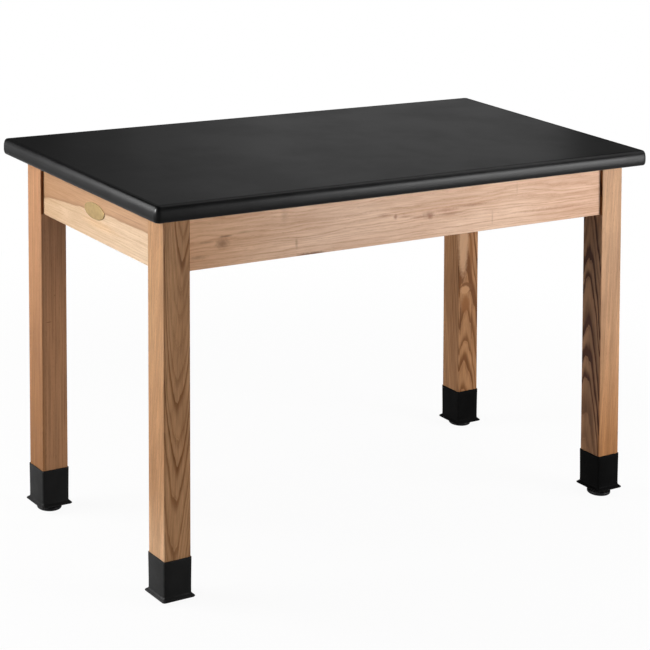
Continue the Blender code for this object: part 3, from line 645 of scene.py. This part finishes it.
def vinylLook(tree, position, finish):
    wear = useGroup(tree, surfaceWear, position, Scale=2.0)
    colour = mixColours(tree, wear["Smudge"], finish["dark"], finish["pale"])
    colour = tinge(tree, colour, wear["Dust"], 0.02, finish["dust"])
    # Painted shade darkens the edge below its middle, towards the bottom
    paintedShadeBelow = rampOver(tree, splitAxes(tree, position)["Z"], *finish["paintedShadeHeights"], 1.0, 0.0)
    colour = mixColours(tree, paintedShadeBelow, colour, finish["paintedShade"])
    return colour, wear["Smudge"], noise(tree, position, 1400.0, 2.0, 0.6)


def nylonLook(tree, position, finish):
    dust = useGroup(tree, surfaceWear, position, Scale=6.0)["Dust"]
    scuff = noise(tree, position, 500.0, 3.0, 0.7)
    return mixColours(tree, dust, finish["dark"], finish["dust"]), scuff, scuff


def zincLook(tree, position, finish):
    # Soft mottled crystals, faint rolling lines, dulled where it was handled
    cloud = noise(tree, position, 60.0, 4.0, 0.6)
    crystals = cells(tree, position, 420.0)
    tone = mixColours(tree, 0.25, finish["bright"], crystals, "SOFT_LIGHT")
    colour = mixColours(tree, rampOver(tree, cloud, 0.35, 0.7), tone, finish["dulled"])
    fine = noise(tree, position, 1.0, 2.0, 0.6, (300, 300, 2600))
    return colour, cloud, calc(tree, "ADD", fine, cloud)


def giltLook(tree, position, finish):
    brushed = noise(tree, position, 1.0, 3.0, 0.7, (500, 60, 4200))
    cloud = rampOver(tree, noise(tree, position, 90.0, 3.0, 0.6), 0.35, 0.65)
    colour = mixColours(tree, cloud, finish["bright"], finish["dark"])
    return tinge(tree, colour, brushed, 0.3, finish["brushed"]), brushed, brushed


def boardLook(tree, position, finish):
    # Raw particle board: pressed chips in several browns
    chips = cells(tree, vectorCalc(tree, "MULTIPLY", position, (1, 1, 2.5)), 420.0)
    tone = addNode(tree, "ShaderNodeSeparateColor", {0: chips}).outputs[0]
    dust = noise(tree, position, 900.0, 3.0, 0.7)
    colour = mixColours(tree, tone, finish["dark"], finish["pale"])
    return tinge(tree, colour, dust, 0.4, finish["dust"]), dust, calc(tree, "ADD", tone, dust)


def backerLook(tree, position, finish):
    # Dull balancing sheet with a faint fibrous figure
    fibres = noise(tree, position, 1.0, 4.0, 0.65, (60, 420, 60))
    blotch = rampOver(tree, noise(tree, position, 9.0, 4.0, 0.6), 0.3, 0.7)
    colour = mixColours(tree, blotch, finish["dark"], finish["pale"])
    return tinge(tree, colour, fibres, 0.45, finish["fibre"]), fibres, fibres


def finishMaterial(name, look):
    finish = finishes[name]
    material, tree, shader, position = newMaterial(name, finish["shader"])
    dressShader(tree, shader, finish, *look(tree, position, finish))
    return material


nodes["top_laminate"].material_slots[0].material = finishMaterial("blackLaminate", laminateLook)
blackVinyl = finishMaterial("blackVinyl", vinylLook)
blackNylon = finishMaterial("blackNylon", nylonLook)
zincPlate = finishMaterial("zincPlate", zincLook)
giltPlate = finishMaterial("giltPlate", giltLook)
nodes["top_core"].material_slots[0].material = finishMaterial("particleBoard", boardLook)
nodes["top_backer"].material_slots[0].material = finishMaterial("brownBacker", backerLook)
for nodeName, node in nodes.items():
    if nodeName.startswith(("corner_bracket", "top_clip", "glide_insert")):
        node.material_slots[0].material = zincPlate
print("plain finishes ready:", len(finishes))


# Edge moulding

moulding = {
    "length": 1.2192, "width": 0.6096, "corner": 0.0115, "band": 0.0127, "widest": 0.7441,
    "halves": (0.0179, 0.01385), "crown": (0.0082, 0.0064), "fullness": (2.5, 2.7),
    "cornerSteps": 14, "rows": 30,
}


def makeMoulding():
    # A crowned section, carried round the top row by row
    reachX = moulding["length"] / 2 - moulding["corner"]
    reachY = moulding["width"] / 2 - moulding["corner"]
    rows = []
    above, below = zip(moulding["halves"], moulding["crown"], moulding["fullness"])
    for step in range(moulding["rows"] + 1):
        angle = math.pi * (0.5 - step / moulding["rows"])
        half, crown, fullness = above if angle > 0 else below
        rise = math.copysign(abs(math.sin(angle)) ** (2 / fullness), angle)
        inset = crown * (1 - abs(math.cos(angle)) ** (2 / fullness))
        rows.append((inset, moulding["widest"] + half * rise))
    bm = makeOutline(moulding["length"], moulding["width"], moulding["corner"],
                     moulding["cornerSteps"])

    def moveIn(vert, shift, height):
        core = Vector((clamp(vert.co.x, reachX), clamp(vert.co.y, reachY), 0))
        out = Vector((vert.co.x - core.x, vert.co.y - core.y, 0))
        vert.co -= out.normalized() * shift
        vert.co.z = height

    def toInnerEdge(vert):
        vert.co.x = clamp(vert.co.x, moulding["length"] / 2 - moulding["band"])
        vert.co.y = clamp(vert.co.y, moulding["width"] / 2 - moulding["band"])

    for vert in bm.verts:
        moveIn(vert, *rows[0])
    top = edges = list(bm.edges)
    for before, row in zip(rows, rows[1:]):
        edges = pullEdges(bm, edges, lambda vert: moveIn(vert, row[0] - before[0], row[1]))
    top = pullEdges(bm, top, toInnerEdge)
    bottom = pullEdges(bm, edges, toInnerEdge)
    bmesh.ops.bridge_loops(bm, edges=top + bottom)
    bmesh.ops.remove_doubles(bm, verts=bm.verts, dist=0.00001)
    finishPiece(bm, "edgeMoulding", blackVinyl, "table", ["edge_moulding"], 50)


makeMoulding()
print("edge moulding made")


# Rubber boots

boot = {
    "bore": 0.028875, "wall": 0.0017, "drawIn": 0.0005, "height": 0.0762,
    "flare": 0.0048, "flareHeight": 0.009, "rim": 0.003, "lip": 0.0006, "tipCorner": 0.005,
    # The sheen colour is a painted highlight on the faces turned to the left
    "rough": (0.44, 0.1), "relief": (0.00008, 0.5), "paintedSheen": (0.17, 0.17, 0.17),
    "dust": (0.16, 0.15, 0.14),
    "lift": {"front_left": 0.0065, "front_right": 0.017, "rear_right": 0.011, "rear_left": 0.014},
    # Per boot: its rubber tone and a gloss share, which also sets its dust and painted sheen; the
    # lighter left boots and darker right ones are painted light and shade
    "tone": {"front_left": (0.0095, 0.22), "front_right": (0.0045, 0.03),
             "rear_right": (0.0055, 0.03), "rear_left": (0.0105, 0.17)},
}


def rubberMaterial(corner):
    # Matt black rubber, with a painted sheen on the faces turned to the left
    tone, gloss = boot["tone"][corner]
    material, tree, shader, position = newMaterial(
        "blackRubber_" + corner, {"Specular IOR Level": gloss * 0.3})
    wear = useGroup(tree, surfaceWear, position, Scale=3.0)
    grain = noise(tree, position, 1100.0, 3.0, 0.6)
    waves = noise(tree, position, 38.0, 2.0, 0.5)
    colour = mixColours(tree, wear["Smudge"], (tone * 0.85,) * 3, (tone * 1.2,) * 3)
    left = corners[corner][0] * table["legX"] - boot["bore"] - boot["wall"]
    onLeft = rampOver(tree, splitAxes(tree, position)["X"], left + 0.0006, left + 0.003, 1.0, 0.0)
    # Painted sheen on the faces turned to the left, in step with the boot's gloss share
    paintedSheen = times(tree, onLeft, times(tree, waves, 0.8, 0.5))
    colour = tinge(tree, colour, paintedSheen, gloss * 0.5, boot["paintedSheen"])
    colour = tinge(tree, colour, wear["Dust"], gloss * 0.3, boot["dust"])
    soft = addNode(tree, "ShaderNodeBump", {"Height": waves, "Distance": 0.0012, "Strength": 0.5})
    dressShader(tree, shader, boot, colour, wear["Smudge"], grain, soft.outputs[0])
    return material


def makeBoot(corner):
    bore, height, rim, flare, lip = (boot[key] for key in ("bore", "height", "rim", "flare", "lip"))
    outer = bore + boot["wall"]
    waist, foot = outer - boot["drawIn"], outer + flare
    # Half widths and heights up the outside, over the lip and down the bore
    rows = [(foot, rim * 0.3), (foot + 0.0002, rim * 0.6), (foot - 0.0006, rim * 0.95)]
    for step in range(2, 13):
        share = step / 12
        rows.append((waist + flare * (1 - share) ** 2.2,
                     rim + (boot["flareHeight"] - rim) * share))
    rows += [(waist, height * 0.3), (waist + 0.0002, height * 0.6), (outer, height - 0.004),
             (outer, height - lip), (outer - lip, height), (bore + 0.0003, height),
             (bore, height - 0.0004), (bore, boot["flareHeight"] / 2), (bore + flare / 2, 0.0)]
    start = foot - 0.0009
    bm = makeOutline(start * 2, start * 2, boot["tipCorner"], 6)
    first = edges = list(bm.edges)
    before = (start, 0.0)
    for row in rows:
        scale, rise = row[0] / before[0], row[1] - before[1]

        def moveRow(vert):
            vert.co = Vector((vert.co.x * scale, vert.co.y * scale, vert.co.z + rise))

        edges = pullEdges(bm, edges, moveRow)
        before = row
    bmesh.ops.bridge_loops(bm, edges=first + edges)
    place = cornerPlace(corner) @ Matrix.Translation((0, 0, boot["lift"][corner]))
    finishPiece(bm, "boot." + corner, rubberMaterial(corner), "table", ["boot_" + corner], 60, place)


for corner in corners:
    makeBoot(corner)
print("boots made")


# Levelling glides

glide = {
    "baseRadius": 0.0254, "rimHeight": 0.0075, "rounding": 0.004, "rimRounding": 0.0018,
    "bossRadius": 0.0095, "bossHeight": 0.01302, "bossRise": 0.001, "bossRounding": 0.0005,
    "mouth": 0.0033, "mouthDepth": 0.0012, "steps": 56,
    "collarBottom": 0.01332, "collarHeight": 0.005, "acrossFlats": 0.0127, "chamfer": 0.0004,
    "studRadius": 0.00397, "pitch": 0.001411, "threadDepth": 0.0007, "neck": 0.003,
    "insertBottom": 0.01862, "ball": 0.0046, "ballCentre": 0.0084, "studTop": 0.05622,
}


def makeGlideBase(corner):
    bm = bmesh.new()
    mouth, boss, base = glide["mouth"], glide["bossRadius"], glide["baseRadius"]
    high, top = glide["rimHeight"], glide["bossHeight"]
    low = top - glide["mouthDepth"]
    spinRing(bm, [(0, low), (mouth, low), (mouth, top), (boss, top), (boss, high + glide["bossRise"]),
                  (base, high), (base, 0), (0, 0)], glide["steps"])

    def roundRing(radius, height, offset, segments):
        ring = edgesWhere(bm, lambda at, edge: abs(math.hypot(at.x, at.y) / radius - 1) < 0.01
                          and abs(at.z - height) < hair)
        bevelEdges(bm, ring, offset, segments)

    roundRing(base, 0, glide["rounding"], 6)
    roundRing(base, high, glide["rimRounding"], 4)
    roundRing(boss, top, glide["bossRounding"], 3)
    finishPiece(bm, "glideBase." + corner, blackNylon, "base_" + corner, ["glide_base_" + corner],
                40, cornerPlace(corner))


def makeGlideStud(corner):
    bm = bmesh.new()
    core = glide["studRadius"] - glide["threadDepth"]
    top, bottom, neck = glide["studTop"], glide["collarBottom"], glide["neck"]
    ball, middle = glide["ball"], glide["ballCentre"]
    spinRing(bm, [(0, top), (core - 0.0004, top), (core, top - 0.0005), (core, bottom + 0.001),
                  (neck, bottom + 0.001), (neck, middle + 0.0034), (ball * 0.93, middle + 0.0016),
                  (ball * 0.97, middle - 0.001), (ball * 0.7, middle - 0.0032),
                  (0, middle - ball)], 28)
    addThread(bm, glide["studRadius"], glide["threadDepth"], glide["pitch"],
              glide["insertBottom"] + 0.001, top - glide["insertBottom"] - 0.003)
    collar = makeHexagon(glide["acrossFlats"], bottom, bottom + glide["collarHeight"])
    bevelEdges(collar, collar.edges[:], glide["chamfer"], 3)
    placeCopy(bm, collar)
    collar.free()
    finishPiece(bm, "glideStud." + corner, zincPlate, "stud_" + corner, ["glide_stud_" + corner],
                place=cornerPlace(corner))


for corner in corners:
    makeGlideBase(corner)
    makeGlideStud(corner)
print("glides made")


# Hanger bolts and nuts

bolt = {
    "radius": 0.00397, "core": 0.0033, "end": 0.0473, "length": 0.0635, "pitch": 0.001411,
    "threadStart": 0.021, "point": 0.008, "chamfer": 0.0006, "seat": 0.0338, "spread": 0.038,
    "nutHeight": 0.0085, "nutFlats": 0.0127, "nutChamfer": 0.0008, "nutBore": 0.0044,
    "flangeRadius": 0.009, "flangeEdge": 0.0011, "flangeSlope": 0.0012, "flangeBore": 0.0041,
}


def boltPlace(corner, row):
    rise = table["railMiddle"] + (bolt["spread"] / 2 if row == "upper" else -bolt["spread"] / 2)
    # The bolt lies level and points at the table's middle
    return cornerPlace(corner) @ Matrix.Translation((0, 0, rise)) @ turned(45, "Z") @ turned(90, "Y")


def makeHangerBolt(corner, row):
    bm = bmesh.new()
    end, core, chamfer = bolt["end"], bolt["core"], bolt["chamfer"]
    tail = end - bolt["length"]
    spinRing(bm, [(0, end), (core - chamfer, end), (core, end - chamfer),
                  (core, tail + bolt["point"]), (0, tail)], 28)
    addThread(bm, bolt["radius"], bolt["radius"] - core, bolt["pitch"], bolt["threadStart"],
              end - bolt["threadStart"] - 0.0005)
    finishPiece(bm, f"hangerBolt.{corner}.{row}", zincPlate, "table",
                [f"hanger_bolt_{corner}_{row}"], place=boltPlace(corner, row))


def makeNut(corner, row):
    bm = bmesh.new()
    edge, height, half = bolt["flangeEdge"], bolt["nutHeight"], bolt["nutFlats"] / 2
    slope = edge + bolt["flangeSlope"]
    spinRing(bm, [(bolt["flangeBore"], 0), (bolt["flangeRadius"], 0), (bolt["flangeRadius"], edge),
                  (half, slope), (bolt["flangeBore"], slope)], 48, merge=False)
    head = makeHexagon(bolt["nutFlats"], edge, height)
    caps = [face for face in head.faces if len(face.verts) == 6]
    bmesh.ops.inset_region(head, faces=caps, thickness=half - bolt["nutBore"])
    bmesh.ops.delete(head, geom=[face for face in head.faces if face in caps], context="FACES_ONLY")
    bore = edgesWhere(head, lambda at, edge: edge.is_boundary)
    bmesh.ops.bridge_loops(head, edges=bore)
    rim = edgesWhere(head, lambda at, edge: at.z > height - hair
                     and math.hypot(at.x, at.y) > half - 3 * hair)
    bevelEdges(head, rim, bolt["nutChamfer"], 3)
    placeCopy(bm, head)
    head.free()
    place = boltPlace(corner, row) @ Matrix.Translation((0, 0, bolt["seat"]))
    finishPiece(bm, f"flangedNut.{corner}.{row}", zincPlate, "table",
                [f"bracket_nut_{corner}_{row}"], place=place)


for corner in corners:
    for row in ("lower", "upper"):
        makeHangerBolt(corner, row)
        makeNut(corner, row)
print("bolts and nuts made")


# Wood screws

screw = {
    "headRadius": 0.0043, "headHeight": 0.0021, "dome": 0.0007, "recess": 0.0014, "cells": 7,
    "alongWing": 0.06286, "spread": 0.046, "bracketFace": -0.000475,
    "clipReach": 0.0098, "clipFace": 0.72835, "frontClips": (-0.3529, 0.0, 0.3529),
}


def makeScrewHead():
    # A pan head with a cross recess, standing on Z zero
    bm = bmesh.new()
    radius = screw["headRadius"]
    bmesh.ops.create_grid(bm, x_segments=screw["cells"], y_segments=screw["cells"], size=radius)
    for vert in bm.verts:
        square = max(abs(vert.co.x), abs(vert.co.y))
        share = square / radius
        if vert.co.length > 0:
            rounded = vert.co.normalized() * square
            vert.co = vert.co.lerp(rounded, max(0.0, min(1.0, share * 1.6 - 0.5)))
        vert.co.z = screw["headHeight"] - screw["dome"] * (vert.co.length / radius) ** 2
    cell = radius / screw["cells"]
    middles = [(face, face.calc_center_median().xy) for face in bm.faces]
    cross = [face for face, middle in middles
             if min(abs(middle.x), abs(middle.y)) < cell * 0.6 and middle.length < cell * 4.4]
    sunk = bmesh.ops.extrude_face_region(bm, geom=cross)["geom"]
    bmesh.ops.delete(bm, geom=cross, context="FACES")
    for item in sunk:
        if isinstance(item, bmesh.types.BMVert):
            item.co = Vector((item.co.x * 0.82, item.co.y * 0.82, item.co.z - screw["recess"]))
    rim = edgesWhere(bm, lambda at, edge: edge.is_boundary)

    def toSeat(vert):
        vert.co.z = 0.0

    def toShoulder(vert):
        vert.co = Vector((vert.co.x * 1.04, vert.co.y * 1.04, vert.co.z - 0.0004))

    seat = pullEdges(bm, pullEdges(bm, rim, toShoulder), toSeat)
    bmesh.ops.contextual_create(bm, geom=seat)
    return bm


def makeScrews():
    head = makeScrewHead()
    turnX = turned(-90, "X")  # heads face +Y
    turnY = turned(90, "Y")  # heads face +X
    for number, corner in enumerate(corners):
        bm = bmesh.new()
        for place in range(4):
            rise = table["railMiddle"] + screw["spread"] * (0.5 if place % 2 else -0.5)
            spin = Matrix.Rotation(0.7 * number + 1.9 * place, 4, "Z")
            if place < 2:
                at = Matrix.Translation((screw["alongWing"], screw["bracketFace"], rise)) @ turnX
            else:
                at = Matrix.Translation((screw["bracketFace"], screw["alongWing"], rise)) @ turnY
            placeCopy(bm, head, cornerPlace(corner) @ at @ spin)
        finishPiece(bm, "bracketScrews." + corner, zincPlate, "table")
    reachY = table["legY"] - table["railFace"] - screw["clipReach"]
    reachX = table["legX"] - table["railFace"] - screw["clipReach"]
    spots = [(x, side * reachY) for x in screw["frontClips"] for side in (-1, 1)]
    spots += [(side * reachX, 0.0) for side in (-1, 1)]
    bm = bmesh.new()
    down = turned(180, "X")
    for number, (x, y) in enumerate(spots):
        spin = Matrix.Rotation(1.3 * number, 4, "Z")
        placeCopy(bm, head, Matrix.Translation((x, y, screw["clipFace"])) @ down @ spin)
    head.free()
    finishPiece(bm, "clipScrews", zincPlate, "table")


makeScrews()
print("screws made")


# Oval plate

plate = {
    "length": 0.0762, "height": 0.03175, "thickness": 0.0012, "rim": 0.0016, "recess": 0.0004,
    "rounding": 0.00035, "back": -0.565425, "middle": 0.678475, "steps": 96,
}


def makePlate():
    bm = bmesh.new()
    bmesh.ops.create_circle(bm, cap_ends=True, segments=plate["steps"], radius=1.0,
                            matrix=Matrix.Diagonal((plate["length"] / 2, plate["height"] / 2, 1, 1)))
    made = bmesh.ops.extrude_face_region(bm, geom=bm.faces[:])["geom"]
    face = [item for item in made if isinstance(item, bmesh.types.BMFace)]
    raised = [item for item in made if isinstance(item, bmesh.types.BMVert)]
    bmesh.ops.translate(bm, verts=raised, vec=(0, 0, plate["thickness"]))
    bmesh.ops.inset_region(bm, faces=face, thickness=plate["rim"] * 0.8, use_even_offset=True)
    bmesh.ops.inset_region(bm, faces=face, thickness=plate["rim"] * 0.2, depth=-plate["recess"],
                           use_even_offset=True)
    outer = edgesWhere(bm, lambda at, edge: at.z > plate["thickness"] - hair
                       and math.hypot(at.x / plate["length"], at.y / plate["height"]) > 0.495
                       and abs(edge.verts[0].co.z - edge.verts[1].co.z) < hair)
    bevelEdges(bm, outer, plate["rounding"], 3)
    # Its face looks out of the left end
    outwards = Matrix(((0, 0, -1, plate["back"]), (-1, 0, 0, 0), (0, 1, 0, plate["middle"]),
                       (0, 0, 0, 1)))
    finishPiece(bm, "ovalPlate", giltPlate, "table", ["oval_plate"], 40, outwards)


makePlate()
print("plate made")


# Studio

studio = {
    "floorReach": 60.0, "floorDrop": 0.0004, "floorRoughness": 0.8,
    "floorColour": (0.38, 0.38, 0.38), "floorSeen": (0.95, 0.95, 0.95),
    # The floor's own white, looked at and mirrored: distances from the table, and levels there
    "white": (0.7, 2.0, 0.94, 1.0),
    "mirrored": (1.5, 8.0, 0.35, 1.0),
    "worldLevel": 0.048,
    # Place, aim, size, power, and what the lamp gives: light, sheen or both
    "lamps": {
        "leftSoftbox": ((-2.2, 0.9, 1.25), (-0.45, 0.0, 0.6), (1.3, 1.1), 49.0, "light"),
        "rightSoftbox": ((1.7, -2.0, 0.75), (0.3, -0.2, 0.6), (1.3, 1.3), 48.0, "light"),
        "leftSheen": ((-2.15, 1.1, 1.26), (-0.45, 0.0, 0.7), (1.3, 1.5), 78.0, "sheen"),
        "rightSheen": ((1.65, -2.0, 0.575), (0.3, -0.2, 0.575), (1.3, 0.5), 48.0, "sheen"),
        "cornerSheen": ((-2.51, -0.25, 1.18), (-0.6, -0.3, 0.755), (0.5, 0.4), 165.0, "sheen"),
        "edgeSheen": ((1.6, -1.2, 1.95), (0.2, -0.3, 0.755), (1.0, 0.8), 7.5, "sheen"),
        "overheadSheen": ((1.1, -0.2, 2.4), (0.2, -0.3, 0.75), (1.9, 1.5), 21.0, "sheen"),
        "overhead": ((1.3, 0.2, 2.6), (0.2, 0.0, 0.75), (2.6, 2.0), 22.0, "light"),
    },
    # A broad sheen on the top, from panels that fade in step by step from the left
    "rearPanels": {"place": (1.0, 1.35, 1.15), "size": (1.8, 0.7), "layers": 4, "stepIn": 0.2,
                   "level": 0.062},
}


def makeFloor():
    bm = bmesh.new()
    bmesh.ops.create_grid(bm, x_segments=1, y_segments=1, size=studio["floorReach"])
    bmesh.ops.translate(bm, verts=bm.verts, vec=(0, 0, -studio["floorDrop"]))
    floor = addObject("floor", meshFrom(bm, "floor"))
    material, tree, shader, position = newMaterial(
        "paleFloor", {"Roughness": studio["floorRoughness"]})
    rays = tree.nodes.new("ShaderNodeLightPath").outputs
    mirrored = calc(tree, "MAXIMUM", rays["Is Glossy Ray"], rays["Is Transmission Ray"])
    seen = calc(tree, "MAXIMUM", rays["Is Camera Ray"], mirrored)
    # Dull to the light it throws back; near white where it is looked at or mirrored, with a
    # faint shadow round the table that shows more in what mirrors it
    tone = mixColours(tree, seen, studio["floorColour"], studio["floorSeen"])
    feed(tree, shader.inputs["Base Color"], tone)
    white = addNode(tree, "ShaderNodeEmission", {"Color": (1, 1, 1, 1), "Strength": 1.0})
    away = vectorCalc(tree, "LENGTH", position)
    looked = times(tree, rays["Is Camera Ray"], rampOver(tree, away, *studio["white"]))
    mirrored = times(tree, mirrored, rampOver(tree, away, *studio["mirrored"]))
    shown = addNode(tree, "ShaderNodeMixShader", {
        0: calc(tree, "ADD", looked, mirrored), 1: shader.outputs[0], 2: white.outputs[0]})
    feed(tree, tree.nodes["Material Output"].inputs["Surface"], shown.outputs[0])
    floor.data.materials.append(material)


def makeLamp(name, place, aim, size, power, gives="both"):
    data = bpy.data.lights.new(name, "AREA")
    data.shape = "RECTANGLE"
    data.size, data.size_y = size
    data.energy = power
    light = addObject(name, data)
    light.location = place
    light.rotation_euler = (Vector(aim) - Vector(place)).to_track_quat("-Z", "Y").to_euler()
    light.visible_camera = False
    light.visible_diffuse = gives != "sheen"
    light.visible_glossy = gives != "light"


def makeLamps():
    for name, lamp in studio["lamps"].items():
        makeLamp(name, *lamp)
    panels = studio["rearPanels"]
    for layer in range(panels["layers"]):
        width, height = panels["size"][0] - layer * panels["stepIn"], panels["size"][1]
        place = Vector(panels["place"]) + Vector((layer * panels["stepIn"] / 2, layer * 0.01, 0))
        makeLamp(f"rearPanel{layer}", place, place + Vector((0, -1, -0.05)), (width, height),
                 panels["level"] * math.pi * width * height)


def makeWorld():
    world = bpy.data.worlds.new("studio")
    bpy.context.scene.world = world
    world.use_nodes = True
    background = world.node_tree.nodes["Background"]
    background.inputs["Color"].default_value = (1, 1, 1, 1)
    background.inputs["Strength"].default_value = studio["worldLevel"]


makeFloor()
makeLamps()
makeWorld()
print("studio lit")


# Camera

cameraView = {
    "place": (-2.4642, -3.4161, 1.6858),
    "right": (0.8157, -0.5759, 0.0538),
    "up": (0.045, 0.0683, 0.9966),
    "back": (-0.5559, -0.7765, 0.2969),
    "lens": 116.27,
}


def makeCamera():
    # The photograph is cropped low out of a level view, so its picture plane
    # stands upright while its middle looks down: the mount holds those axes
    data = bpy.data.cameras.new("camera")
    data.lens = cameraView["lens"]
    data.clip_end = 200.0
    mount, camera = addObject("cameraMount", None), addObject("camera", data)
    axes = [Vector(cameraView[side]).normalized() for side in ("right", "up", "back")]
    stand = Matrix(axes).transposed().to_4x4()
    stand.translation = Vector(cameraView["place"])
    camera.parent = mount
    camera.matrix_parent_inverse = stand
    bpy.context.scene.camera = camera


makeCamera()
bpy.context.scene.view_settings.view_transform = "Standard"
print("camera set")
